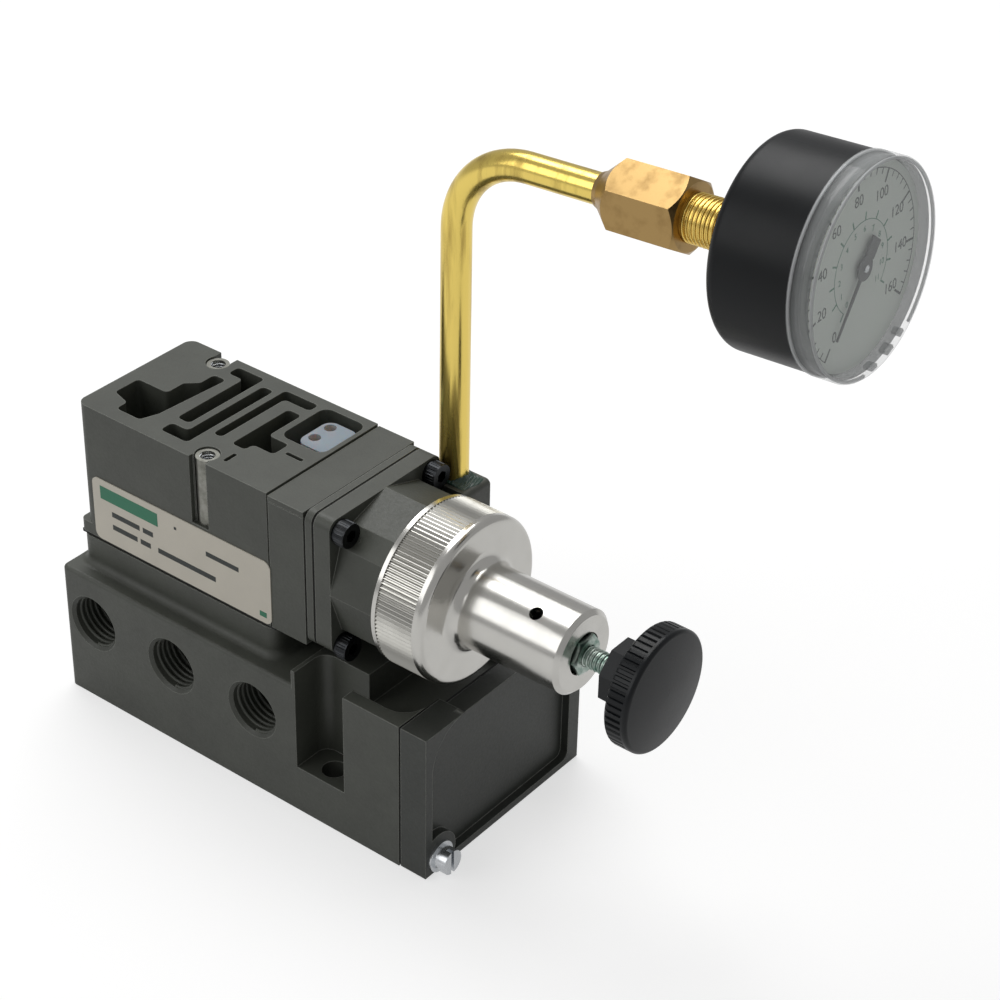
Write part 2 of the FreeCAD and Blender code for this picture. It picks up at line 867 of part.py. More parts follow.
def cut_body_holes(body):
    head = size.clamp_radius + size.clamp_clearance
    shank = size.clamp_shank + size.clamp_clearance
    sink_holes(body, "ClampBores", "top", body_top, clamps, head, size.clamp_seat_drop)
    sink_holes(body, "ClampHoles", "top", clamp_seat, clamps, shank, clamp_seat - body_bottom)
    half = size.clamp_groove_width / 2
    along, across = clamps[0]
    groove = rectangle(along - half, size.body_front, along + half, size.body_front + size.clamp_groove_depth)
    sink_outline(body, "ClampGroove", "top", body_top, groove, size.clamp_seat_drop)
    along, across = clamps[1]
    notch = rectangle(along - half, across, along + half, body_rear)
    sink_outline(body, "ClampNotch", "top", body_top, notch, size.channel_depth / 2)
    axis = [(size.axis_across, axis_height)]
    sink_holes(body, "Chamber", "side", body_right, axis, size.chamber_radius, size.chamber_reach)
    reach = body_right - seat_start - size.seat_lip
    sink_holes(body, "SeatBore", "side", body_right, axis, size.seat_radius + size.bore_clearance, reach)
    sink_holes(body, "ValveBore", "side", body_right, axis, size.valve_radius, size.valve_reach)
    outlet = [(size.axis_across + size.outlet_across, axis_height + size.outlet_rise)]
    reach = size.chamber_reach + size.outlet_length
    sink_holes(body, "Outlet", "side", body_right, outlet, size.outlet_radius, reach)
    sense = size.axis_across + size.sense_across
    rise = axis_height + size.sense_rise
    radius = size.sense_radius
    groove = rectangle(size.axis_across + size.sense_across / 2, rise - radius, sense + radius, rise + radius)
    sink_outline(body, "SenseGroove", "side", body_right, groove, size.sense_depth)
    supply_rise = axis_height - body_bottom
    sink_holes(body, "Supply", "top", body_bottom, [supply], size.supply_radius, supply_rise, 1)
    reach = size.body_height - size.channel_depth
    sink_holes(body, "Passages", "top", body_bottom, passages, size.passage_radius, reach, 1)


def clamp_screw(label, name, spot):
    along, across = spot
    top = body_top - size.clamp_recess
    sleeve = named_cylinder(f"{name}Sleeve", size.clamp_radius, top - clamp_seat, along, across, clamp_seat)
    foot = pad_top - size.clamp_grip + 1.0
    shank = named_cylinder(f"{name}Shank", size.clamp_shank, clamp_seat - foot, along, across, foot)
    hole_start = top - size.clamp_thread_depth
    hole = named_cylinder(
        f"{name}Thread", size.clamp_thread, size.clamp_thread_depth, along, across, hole_start)
    keep(boolean("Cut", name, join(f"{name}Solid", [sleeve, shank]), hole), label)


def port_insert():
    body = new_body("PortInsert")
    gap = size.insert_gap
    left = size.body_left + OUTLET_POCKET[0][0] + size.insert_start
    right = size.body_left + OUTLET_POCKET[1][0] - gap
    front = size.body_front + OUTLET_POCKET[0][1] + 2.0
    rear = size.body_front + OUTLET_POCKET[2][1] - 2.0
    start = body_top - size.insert_drop - size.insert_height
    grow_outline(body, "Block", "top", start, rectangle(left, front, right, rear), size.insert_height)
    round_edges(body, size.body_corner, upright)
    centre = (left + right) / 2
    holes = [(centre - 2.3, front + 3.6), (centre - 2.3, rear - 2.2)]
    top = start + size.insert_height
    sink_holes(body, "Holes", "top", top, holes, size.insert_hole, size.insert_height * 0.7)
    keep(body, "port_insert")


def label_plate():
    body = new_body("Label")
    left = size.body_left + size.label_start
    low = body_bottom + size.label_lift
    shape = rectangle(left, low, left + size.label_length, low + size.label_height)
    grow_outline(body, "Sheet", "front", size.body_front, shape, size.label_thickness, -1)
    round_edges(body, size.label_corner, lambda e: e.BoundBox.XLength < 1e-4 and e.BoundBox.ZLength < 1e-4)
    keep(body, "label")


def stack_outline():
    """Outline of the plates between the body and the bonnet, about the adjusting axis."""
    front = size.body_front - size.axis_across
    low = body_bottom + size.flange_drop - axis_height
    high = body_top - size.flange_drop / 5 - axis_height
    return rectangle(front, low, front + size.body_width, high)


def screw_spots():
    return [(across - size.axis_across, height - axis_height) for across, height in cap_screws]


def stack_plate(name, label, start, thickness, bore=None, inset=0.0):
    body = new_body(name)
    low, high = stack_outline()[0], stack_outline()[2]
    shape = rectangle(low[0] + inset, low[1] + inset, high[0] - inset, high[1] - inset)
    grow_outline(body, "Plate", "side", start, shape, thickness)
    round_edges(body, size.body_corner, lambda e: e.BoundBox.YLength < 1e-4 and e.BoundBox.ZLength < 1e-4)
    end = start + thickness
    hole = size.cap_screw_radius + size.clamp_clearance
    sink_holes(body, "ScrewHoles", "side", end, screw_spots(), hole, thickness)
    sink_holes(body, "SenseHole", "side", end, [(size.sense_across, size.sense_rise)], size.sense_radius, thickness)
    if bore is not None:
        sink_holes(body, "Bore", "side", end, [(0, 0)], bore, thickness)
    place_on_axis(body)
    keep(body, label)


def neck_corners():
    angles = []
    for quarter in (0, 90, 180, 270):
        angles += [(quarter, 0), (quarter + 45, -1), (quarter + 45, 1)]
    corners = []
    for middle, side in angles:
        angle = middle + size.neck_flat * side
        corners.append((size.neck_radius * cosine(angle), size.neck_radius * sine(angle)))
    return corners


def bonnet():
    body = new_body("Bonnet")
    low, high = stack_outline()[0], stack_outline()[2]
    grow_outline(body, "Flange", "side", bonnet_start, rectangle(*low, *high), size.flange_thickness)
    round_edges(body, size.body_corner, lambda e: e.BoundBox.YLength < 1e-4 and e.BoundBox.ZLength < 1e-4)
    grow_outline(body, "Neck", "side", flange_end, neck_corners(), neck_end - flange_end)
    thread_end = collar_start + size.collar_depth - 1.2
    root = size.bonnet_bore - 1
    outline = [(flange_end, root), (thread_end, root), (thread_end, size.thread_radius)]
    spin(body, "Thread", outline + [(flange_end, size.thread_radius)])
    wide = size.ear_width
    top = size.ear_top
    centre = size.tube_across - size.axis_across
    ear = rectangle(centre - wide * 0.52, top - size.ear_depth, centre + wide * 0.48, top)
    grow_outline(body, "Ear", "side", bonnet_start, ear, ear_end - bonnet_start)
    round_edges(body, size.ear_corner, lambda e: e.BoundBox.XLength < 1e-4 and e.BoundBox.ZLength < 1e-4
                and near(e.BoundBox.XMin, ear_end) and near(e.BoundBox.ZMin, top))
    sink_holes(body, "Bore", "side", thread_end, [(0, 0)], size.bonnet_bore, thread_end - bonnet_start)
    hole = size.cap_screw_radius + size.clamp_clearance
    sink_holes(body, "ScrewHoles", "side", flange_end, screw_spots(), hole, size.flange_thickness)
    room = size.cap_head_radius + size.clamp_clearance
    head_room = size.cap_head_height + 0.6
    sink_holes(body, "HeadRoom", "side", flange_end, screw_spots(), room, head_room, 1)
    sense_length = tube_along - bonnet_start + size.sense_radius
    sense = [(size.sense_across, size.sense_rise)]
    sink_holes(body, "SenseHole", "side", bonnet_start, sense, size.sense_radius, sense_length, 1)
    tube = [(tube_along, centre)]
    sink_holes(body, "TubeHole", "top", top, tube, size.tube_radius + size.bore_clearance, size.tube_grip)
    drop = top - size.sense_rise + size.sense_radius / 3
    sink_holes(body, "TubeDrill", "top", top, tube, size.sense_radius * 0.8, drop)
    cross = centre - size.sense_across + size.sense_radius / 3
    sink_holes(body, "CrossDrill", "front", centre, [(tube_along, size.sense_rise)],
               size.sense_radius * 0.9, cross)
    place_on_axis(body)
    keep(body, "bonnet")


def hex_socket_screw(name, across, level):
    head_end = flange_end + size.cap_head_height
    tip = flange_end - size.flange_thickness - size.cap_screw_depth
    head = rod_along_x(f"{name}Head", size.cap_head_radius, flange_end, head_end, across, level)
    shank = rod_along_x(f"{name}Shank", size.cap_screw_radius, tip, flange_end, across, level)
    socket = prism(f"{name}Socket", 6, size.cap_socket * (HEX_CORNER / 2), size.cap_head_height)
    place(socket, flange_end + size.cap_head_height * 0.4, across, level, ALONG_X)
    return boolean("Cut", name, join(f"{name}Solid", [head, shank]), socket)


def bonnet_screws():
    screws = [hex_socket_screw(f"CapScrew{n}", *spot) for n, spot in enumerate(cap_screws)]
    keep(join("BonnetScrews", screws), "bonnet_screws")


def cut_cap_screw_holes():
    """Tapped holes in the body's right face for the bonnet screws."""
    body = doc.getObject("RegulatorBody")
    depth = size.cap_screw_depth
    radius = size.cap_screw_radius + size.bore_clearance
    sink_holes(body, "CapScrewHoles", "side", body_right, cap_screws, radius, depth)


def spring_cap():
    body = new_body("SpringCap")
    knurl = collar_start + size.knurl_start
    knurl_end = knurl + size.knurl_length
    grip = size.collar_radius - size.knurl_depth
    bend = size.collar_round
    tube = size.cap_tube_radius
    soft = size.cap_fillet
    chamfer = size.cap_end_chamfer
    inner = size.thread_radius + size.bore_clearance
    room_end = collar_start + size.collar_depth
    hollow_end = cap_end - size.cap_end_wall
    recess = nut_start
    recess_radius = size.nut_flats * (HEX_CORNER / 2) + size.nut_clearance
    spin(body, "Wall", [
        (collar_start, inner),
        (collar_start, size.collar_radius),
        (knurl, size.collar_radius),
        (knurl, grip),
        (knurl_end, grip),
        (knurl_end, size.collar_radius),
        (collar_end - bend, size.collar_radius),
        (collar_end, size.collar_radius - bend, bend, -1),
        (collar_end, tube + soft),
        (collar_end + soft, tube, soft, 1),
        (cap_end - chamfer, tube),
        (cap_end, tube - chamfer),
        (cap_end, recess_radius),
        (recess, recess_radius),
        (recess, size.cap_hole),
        (hollow_end, size.cap_hole),
        (hollow_end, size.cap_tube_bore),
        (room_end + 1.2, size.cap_tube_bore),
        (room_end, size.cap_tube_bore + 1.2),
        (room_end, inner),
    ])
    vent = named_cylinder("Vent", size.vent_radius, size.cap_tube_radius * 1.5, cap_end - size.vent_setback,
                          size.axis_across, axis_height, Rotation(Vector(1, 0, 0), size.vent_angle.number))
    bind(vent, "Placement.Rotation.Angle", size.vent_angle)
    place_on_axis(body)
    keep(boolean("Cut", "CapWithVent", body, vent), "spring_cap")


def cap_nut():
    body = new_body("CapNut")
    corner = size.nut_flats * (HEX_CORNER / 2)
    grow_outline(body, "Hex", "side", nut_start, hexagon(corner), size.nut_height)
    bore = size.screw_radius + size.screw_crest
    sink_holes(body, "Thread", "side", nut_end, [(0, 0)], bore, size.nut_height)
    trim = size.nut_height * 0.15
    spin_away(body, "Crown", [(nut_end, corner - trim * 1.7), (nut_end + 1, corner - trim * 1.7),
                              (nut_end + 1, corner + 1), (nut_end - trim, corner + 1), (nut_end - trim, corner)])
    place_on_axis(body)
    keep(body, "cap_nut")


def hexagon(corner):
    turns = [Size(60.0 * n) for n in range(6)]
    return [(corner * cosine(turn), corner * sine(turn)) for turn in turns]


def knob():
    body = new_body("Knob")
    hub = size.knob_hub_radius
    bore = size.screw_radius + size.bore_clearance
    bottom = knob_start + size.knob_grip + 0.4
    grow_outline(body, "Hub", "side", knob_start, octagon(hub), size.knob_hub_length)
    rim = size.knob_radius
    dome = size.knob_dome
    spin(body, "Head", [
        (head_start, 0),
        (head_start, rim - dome),
        (head_start + dome, rim, dome, -1),
        (head_end - dome, rim),
        (head_end, rim - dome, dome, -1),
        (head_end + dome, 0, (rim * rim) / (dome * 2), -1),
    ])
    sink_holes(body, "ScrewHole", "side", knob_start, [(0, 0)], bore, bottom - knob_start, 1)
    flute(body)
    place_on_axis(body)
    keep(body, "knob")


def octagon(corner):
    turns = [Size(45.0 * n + 22.5) for n in range(8)]
    return [(corner * cosine(turn), corner * sine(turn)) for turn in turns]


def flute(body):
    """Grip flutes round the knob."""
    sketch = new_sketch(body, "Flute", "side", head_start - 1)
    floor = size.knob_radius - size.knob_flute
    outside = size.knob_radius + size.knob_flute
    draw_outline(sketch, [
        (floor, -(size.knob_flute / 2)), (outside, -(size.knob_flute * 1.5)),
        (outside, size.knob_flute * 1.5), (floor, size.knob_flute / 2)])
    pocket = sink(body, sketch, size.knob_length + 1 - size.knob_dome * 1.5, 1)
    pattern = body.newObject("PartDesign::PolarPattern", "Flutes")
    pattern.Originals = [pocket]
    pattern.Axis = (origin_plane(body, "X_Axis"), [""])
    pattern.Angle = 360
    pattern.setExpression("Occurrences", size.knob_teeth.text)
    body.Tip = pattern
    doc.recompute()


def adjusting_screw():
    body = new_body("AdjustingScrew")
    start = size.upper_seat_along + size.upper_seat_thickness - size.spigot_length / 3
    end = knob_start + size.knob_grip
    radius = size.screw_radius
    tip = radius * 0.4
    spin(body, "Rod", [
        (start, 0), (start, tip), (start + (radius - tip), radius), (end, radius), (end, 0)])
    place_on_axis(body)
    keep(body, "adjusting_screw")


def upper_spring_seat():
    body = new_body("UpperSpringSeat")
    start = size.upper_seat_along
    end = start + size.upper_seat_thickness
    radius = size.cap_tube_bore - size.guide_clearance
    spigot = size.spigot_radius
    dimple = end - size.spigot_length / 3 - size.rest_gap
    tip = size.screw_radius * 0.4
    wide = size.screw_radius + 0.1
    spin(body, "Seat", [
        (start - size.spigot_length, 0),
        (start - size.spigot_length, spigot - 0.4),
        (start - size.spigot_length + 0.4, spigot),
        (start, spigot),
        (start, radius),
        (end, radius),
        (end, wide),
        (dimple, tip),
        (dimple, 0),
    ])
    place_on_axis(body)
    keep(body, "upper_spring_seat")


def diaphragm_plate():
    body = new_body("DiaphragmPlate")
    start = bonnet_start + size.rest_gap
    end = start + size.lower_seat_thickness
    spigot = size.spigot_radius
    spin(body, "Plate", [
        (start, 0),
        (start, size.lower_seat_radius),
        (end, size.lower_seat_radius),
        (end, spigot),
        (end + size.spigot_length - 0.4, spigot),
        (end + size.spigot_length, spigot - 0.4),
        (end + size.spigot_length, 0),
    ])
    place_on_axis(body)
    keep(body, "diaphragm_plate")


def coil(name, label, start, end, radius, wire, turns):
    """A helical spring along the adjusting axis, between two faces."""
    length = end - start - wire * 2 - size.rest_gap * 2
    helix = doc.addObject("Part::Helix", f"{name}Path")
    bind(helix, "Radius", radius)
    bind(helix, "Height", length)
    bind(helix, "Pitch", length / turns)
    helix.SegmentLength = 1
    section = doc.addObject("Part::Circle", f"{name}Wire")
    bind(section, "Radius", wire)
    place(section, radius, 0, 0, Rotation(Vector(1, 0, 0), 90))
    doc.recompute()
    sweep = doc.addObject("Part::Sweep", name)
    sweep.Sections = [section]
    sweep.Spine = (helix, [f"Edge{n}" for n in range(1, len(helix.Shape.Edges) + 1)])
    sweep.Solid = True
    sweep.Frenet = True
    place_on_axis(sweep, start + wire + size.rest_gap, ALONG_X)
    doc.recompute()
    keep(sweep, label)


def range_spring():
    start = bonnet_start + size.rest_gap + size.lower_seat_thickness
    coil("RangeSpring", "range_spring", start, size.upper_seat_along,
         size.spring_radius, size.spring_wire, size.spring_turns)


def valve_parts():
    coil("PoppetSpring", "poppet_spring", valve_end, poppet_start,
         size.valve_spring_radius, size.valve_spring_wire, size.valve_spring_turns)
    stem = size.stem_radius
    body = new_body("ValvePoppet")
    tip = diaphragm_start - size.rest_gap
    spin(body, "Poppet", [
        (poppet_start, 0),
        (poppet_start, size.poppet_radius),
        (poppet_end, size.poppet_radius),
        (poppet_end, stem),
        (tip, stem),
        (tip, 0),
    ])
    place_on_axis(body)
    keep(body, "valve_poppet")
    seal = new_body("PoppetSeal")
    edge = size.poppet_radius - 0.2
    spin(seal, "Ring", [(poppet_end, stem), (poppet_end, edge), (face_end, edge), (face_end, stem)])
    place_on_axis(seal)
    keep(seal, "poppet_seal")
    seat = new_body("ValveSeat")
    outer = size.seat_radius
    bore = size.orifice_radius
    shoulder = seat_start + size.seat_lip
    end = seat_start + size.seat_length
    spin(seat, "Ring", [
        (seat_start, bore),
        (seat_start, bore + 0.6),
        (shoulder, bore + 1.2),
        (shoulder, outer),
        (end - 0.5, outer),
        (end, outer - 0.5),
        (end, bore + 1.0),
        (end - 1.0, bore),
    ])
    place_on_axis(seat)
    keep(seat, "valve_seat")


def end_cover():
    body = new_body("EndCover")
    front = base_front
    rear = front + size.cover_width
    low = size.cover_lift
    top = size.block_height
    notch = size.notch_half
    floor = top - size.notch_depth
    outline = [(front, low), (rear, low), (rear, top), (notch, top), (notch, floor),
               (-notch, floor), (-notch, top), (front, top)]
    grow_outline(body, "Plate", "side", cover_start, outline, size.cover_thickness)
    sink_panel(body)
    hole = size.cover_thread + size.clamp_clearance
    sink_holes(body, "ScrewHoles", "side", cover_end, cover_screws, hole, size.cover_thickness)
    keep(body, "end_cover")
    seal = new_body("CoverGasket")
    trim = size.cover_lift
    outline = [(front + trim, low + trim), (rear - trim, low + trim), (rear - trim, top - trim),
               (notch, top - trim), (notch, floor), (-notch, floor), (-notch, top - trim), (front + trim, top - trim)]
    grow_outline(seal, "Sheet", "side", base_right, outline, size.cover_seal)
    sink_holes(seal, "ScrewHoles", "side", cover_start, cover_screws, hole, size.cover_seal)
    keep(seal, "cover_gasket")


def sink_panel(body):
    """The recessed panel, cut round the two screw bosses and open to the notch above."""
    top = size.block_height
    corner = size.panel_corner
    left = -size.notch_half - corner
    boss = size.cover_boss
    reach = boss * 0.92
    short = boss * 0.39
    first, second = cover_screws
    low = first[1] - short
    right = second[0] + short
    outline = [
        (left, first[1] + reach, boss, 1),
        (left, top - corner),
        (left + corner, top, corner, -1),
        (second[0] - boss * 0.5, top),
        (right, second[1] - reach, boss, 1),
        (right, low + 2),
        (right - 2, low, 2, -1),
        (first[0] + reach, low),
    ]
    sink_outline(body, "Panel", "side", cover_end, outline, size.panel_depth)


def cover_screw_set():
    screws = []
    washers = []
    radius = size.cover_head_radius
    for number, (across, level) in enumerate(cover_screws):
        seat = cover_end + size.washer_thickness
        tip = base_right - size.cover_thread_depth + 0.5
        head = rod_along_x(f"CoverHead{number}", radius, seat, seat + size.cover_head_height, across, level)
        shank = rod_along_x(f"CoverShank{number}", size.cover_thread - 0.05, tip, seat, across, level)
        blade = doc.addObject("Part::Box", f"Driver{number}")
        bind(blade, "Length", size.cover_driver_depth)
        bind(blade, "Width", size.cover_driver_width)
        bind(blade, "Height", radius * 2 + 0.2)
        place(blade, seat + size.cover_head_height - size.cover_driver_depth,
              across - size.cover_driver_width / 2, level - radius - 0.1)
        solid = join(f"CoverSolid{number}", [head, shank])
        screws.append(boolean("Cut", f"CoverScrew{number}", solid, blade))
        disc = rod_along_x(f"WasherDisc{number}", size.washer_radius, cover_end, seat, across, level)
        hole = rod_along_x(f"WasherHole{number}", size.cover_thread + 0.1, cover_end, seat, across, level)
        washers.append(boolean("Cut", f"Washer{number}", disc, hole))
    keep(join("CoverScrews", screws), "cover_screws")
    keep(join("CoverWashers", washers), "cover_washers")


def brass_tube():
    tilt = size.gauge_tilt
    bend = size.tube_bend
    height = size.gauge_height
    reach = bend * (1 - sine(tilt)) / cosine(tilt)
    bottom = axis_height + size.ear_top - size.tube_grip + 0.1
    turn_height = height + reach * sine(tilt) - bend * cosine(tilt)
    end = size.fitting_start - size.fitting_nose + size.fitting_socket
    points = [
        (0, bottom),
        (0, turn_height),
        (reach * cosine(tilt), height + reach * sine(tilt)),
        (end * cosine(tilt), height + end * sine(tilt)),
    ]
    body = new_body("BrassTube")
    path = new_sketch(body, "Path", "front")
    spots = [Vector(as_size(a).number, as_size(b).number, 0) for a, b in points]
    rise = path.addGeometry(Part.LineSegment(spots[0], spots[1]), False)
    sweep = path.addGeometry(arc_between(spots[1], spots[2], bend.number, -1), False)
    run = path.addGeometry(Part.LineSegment(spots[2], spots[3]), False)
    path.addConstraint(Sketcher.Constraint("Coincident", rise, 2, sweep, 2))
    path.addConstraint(Sketcher.Constraint("Coincident", sweep, 1, run, 1))
    pin_point(path, rise, 1, points[0], "foot")
    pin_point(path, rise, 2, points[1], "bendStart")
    pin_point(path, run, 1, points[2], "bendEnd")
    pin_point(path, run, 2, points[3], "tip")
    index = path.addConstraint(Sketcher.Constraint("Radius", sweep, bend.number))
    path.renameConstraint(index, "bend")
    bind(path, "Constraints.bend", bend)
    ring = new_sketch(body, "Ring", "top", bottom)
    draw_circle(ring, (0, 0), size.tube_radius, "outer")
    draw_circle(ring, (0, 0), size.tube_radius - size.tube_wall, "inner")
    doc.recompute()
    pipe = body.newObject("PartDesign::AdditivePipe", "Pipe")
    pipe.Profile = ring
    pipe.Spine = (path, ["Edge1", "Edge2", "Edge3"])
    doc.recompute()
    place(body, tube_along, size.tube_across, 0)
    keep(body, "brass_tube")


def tube_sealant():
    """The ring of sealant where the tube enters the bonnet."""
    body = doc.addObject("Part::Cone", "SealantRing")
    gap = size.bore_clearance
    bind(body, "Radius1", size.tube_radius + size.sealant_spread)
    bind(body, "Radius2", size.tube_radius + size.sealant_spread / 2)
    bind(body, "Height", size.sealant_height)
    top = axis_height + size.ear_top
    place(body, tube_along, size.tube_across, top)
    hole = named_cylinder(
        "SealantHole", size.tube_radius + gap, size.sealant_height, tube_along, size.tube_across, top)
    keep(boolean("Cut", "Sealant", body, hole), "tube_sealant")


def hex_adapter():
    body = new_body("HexAdapter")
    start = size.fitting_start
    end = start + size.fitting_length
    nose = start - size.fitting_nose
    corner = size.fitting_flats * (HEX_CORNER / 2)
    flat = size.fitting_flats / 2
    grow_outline(body, "Hex", "side", start, turned_hexagon(corner), size.fitting_length)
    trim = corner - flat
    for name, face, reach, small in (
        ("NearCone", start, size.fitting_cone, size.fitting_nose_radius),
        ("FarTrim", end, -trim, flat - 0.2),
    ):
        back = face - reach
        spin_away(body, name, [
            (face, small), (face + reach, corner), (face + reach, corner + 1), (back, corner + 1), (back, small)])
    wall = size.tube_radius + size.bore_clearance
    spin(body, "Nose", [
        (nose, wall), (nose, size.fitting_nose_radius - 0.35), (start + 1, size.fitting_nose_radius + 0.5),
        (start + 1, wall)])
    sink_holes(body, "TubeSocket", "side", nose, [(0, 0)], wall, size.fitting_socket, 1)
    sink_holes(body, "Way", "side", end, [(0, 0)], size.sense_radius, size.fitting_length)
    thread = size.gauge_stem_radius + size.bore_clearance
    sink_holes(body, "Thread", "side", end, [(0, 0)], thread, size.gauge_stem_grip + 0.3)
    place_on_gauge(body)
    keep(body, "hex_adapter")


def turned_hexagon(corner):
    turns = [Size(60.0 * n + 30.0) for n in range(6)]
    return [(corner * cosine(turn), corner * sine(turn)) for turn in turns]


def gauge_socket():
    body = new_body("GaugeSocket")
    fitting_end = size.fitting_start + size.fitting_length
    start = fitting_end - size.gauge_stem_grip
    inside = size.case_start + size.case_wall
    spin(body, "Stem", [
        (start, 0), (start, size.gauge_stem_radius), (inside + 0.5, size.gauge_stem_radius), (inside + 0.5, 0)])
    half = size.gauge_block_width / 2
    block = rectangle(-half, -size.gauge_block_drop, half, half)
    grow_outline(body, "Block", "side", inside, block, size.gauge_block_length)
    middle = inside + size.gauge_block_length / 2
    way = middle - start
    sink_holes(body, "Way", "side", start, [(0, 0)], size.sense_radius, way, 1)
    sink_holes(body, "Drop", "top", -size.gauge_block_drop + 1.0, [(middle, 0)], size.sense_radius * 0.8,
               size.gauge_block_drop - 1.0, 1)
    socket = doc.addObject("Part::Torus", "CoilSocket")
    bind(socket, "Radius1", size.coil_radius)
    bind(socket, "Radius2", size.coil_tube + size.bore_clearance)
    bind(socket, "Angle3", as_size(90))
    place(socket, middle, 0, 0, Rotation(Vector(1, 1, 1), 120) * Rotation(Vector(0, 0, 1), -90))
    cut = boolean("Cut", "SocketBlock", body, socket)
    place_on_gauge(cut)
    keep(cut, "gauge_socket")


def bourdon_tube():
    middle = size.case_start + size.case_wall + size.gauge_block_length / 2
    outer = doc.addObject("Part::Torus", "CoilOuter")
    inner = doc.addObject("Part::Torus", "CoilInner")
    for ring, wall in ((outer, as_size(0)), (inner, size.coil_tube * 0.3)):
        bind(ring, "Radius1", size.coil_radius)
        bind(ring, "Radius2", size.coil_tube - wall)
        place(ring, middle, 0, 0, Rotation(Vector(1, 1, 1), 120) * Rotation(Vector(0, 0, 1), -89))
    bind(outer, "Angle3", size.coil_sweep)
    bind(inner, "Angle3", size.coil_sweep - 6)
    cut = boolean("Cut", "Coil", outer, inner)
    place_on_gauge(cut)
    keep(cut, "bourdon_tube")


def movement_plate():
    body = new_body("MovementPlate")
    half = size.movement_size / 2
    grow_outline(body, "Plate", "side", block_end, rectangle(-half, -half, half, half), size.movement_thickness)
    round_edges(body, size.pad_corner, lambda e: e.BoundBox.YLength < 1e-4 and e.BoundBox.ZLength < 1e-4)
    inset = half - size.movement_post - 0.6
    posts = [(a * inset, b * inset) for a in (-1, 1) for b in (-1, 1)]
    sketch = new_sketch(body, "Posts", "side", movement_end)
    for number, post in enumerate(posts):
        draw_circle(sketch, post, size.movement_post, f"post{number}")
    grow(body, sketch, dial_start - movement_end)
    hole = size.spindle_radius + size.bore_clearance
    sink_holes(body, "Bearing", "side", movement_end, [(0, 0)], hole, size.movement_thickness)
    place_on_gauge(body)
    keep(body, "movement_plate")


def gauge_case():
    body = new_body("GaugeCase")
    outer = size.case_radius
    inner = outer - size.case_wall
    start = size.case_start
    spigot = size.lens_radius - size.lens_wall - size.lens_gap
    bend = size.case_round
    hole = size.gauge_stem_radius + size.bore_clearance
    spin(body, "Cup", [
        (start, hole),
        (start, outer - bend),
        (start + bend, outer, bend, -1),
        (case_end, outer),
        (case_end, spigot),
        (dial_start, spigot),
        (dial_start, inner),
        (start + size.case_wall, inner),
        (start + size.case_wall, hole),
    ])
    place_on_gauge(body)
    keep(body, "gauge_case")


def lens():
    body = new_body("Lens")
    outer = size.lens_radius
    inner = outer - size.lens_wall
    bend = size.lens_round
    spin(body, "Cap", [
        (case_end, inner),
        (case_end, outer),
        (lens_end - bend, outer),
        (lens_end, outer - bend, bend, -1),
        (lens_end, 0),
        (lens_end - size.lens_face, 0),
        (lens_end - size.lens_face, inner),
    ])
    place_on_gauge(body)
    keep(body, "lens")


def dial():
    body = new_body("Dial")
    radius = size.lens_radius - size.lens_wall - size.lens_gap
    spin(body, "Face", [
        (dial_start, size.spindle_radius + size.bore_clearance),
        (dial_start, radius),
        (dial_front, radius),
        (dial_front, size.spindle_radius + size.bore_clearance),
    ])
    place_on_gauge(body)
    keep(body, "dial")


def pointer():
    spindle = new_body("PointerSpindle")
    start = block_end + 0.2
    tip = pointer_start + size.pointer_thickness + 0.3
    spin(spindle, "Rod", [(start, 0), (start, size.spindle_radius), (tip, size.spindle_radius), (tip, 0)])
    place_on_gauge(spindle)
    keep(spindle, "pointer_spindle")
    body = new_body("Pointer")
    reach = size.pointer_reach
    tail = -size.pointer_tail
    thin = size.pointer_width / 2
    wide = size.pointer_tail_width / 2
    shape = [(reach, -thin / 4), (reach, thin / 4), (0, thin), (tail * 0.25, thin), (tail * 0.4, wide), (tail, wide),
             (tail, -wide), (tail * 0.4, -wide), (tail * 0.25, -thin), (0, -thin)]
    angle = size.pointer_angle
    turned = [(as_size(a) * cosine(angle) - as_size(b) * sine(angle),
               as_size(a) * sine(angle) + as_size(b) * cosine(angle)) for a, b in shape]
    grow_outline(body, "Blade", "side", pointer_start, turned, size.pointer_thickness)
    hub = new_sketch(body, "Hub", "side", pointer_start)
    draw_circle(hub, (0, 0), size.pointer_hub)
    grow(body, hub, size.pointer_thickness)
    sink_holes(body, "Bore", "side", pointer_start + size.pointer_thickness, [(0, 0)],
               size.spindle_radius, size.pointer_thickness)
    place_on_gauge(body)
    keep(body, "pointer")


def check_document():
    doc.recompute()
    for item in doc.Objects:
        if "Invalid" in item.State or "Error" in item.State:
            raise RuntimeError(f"{item.Label} is {item.State}")
    for item in finished:
        if item.Shape.isNull() or not item.Shape.isValid() or not item.Shape.Solids:
            raise RuntimeError(f"{item.Label} has no valid solid")


def write_parts():
    os.makedirs("parts", exist_ok=True)
    for item in finished:
        item.Shape.exportStep(f"parts/{item.Label}.step")


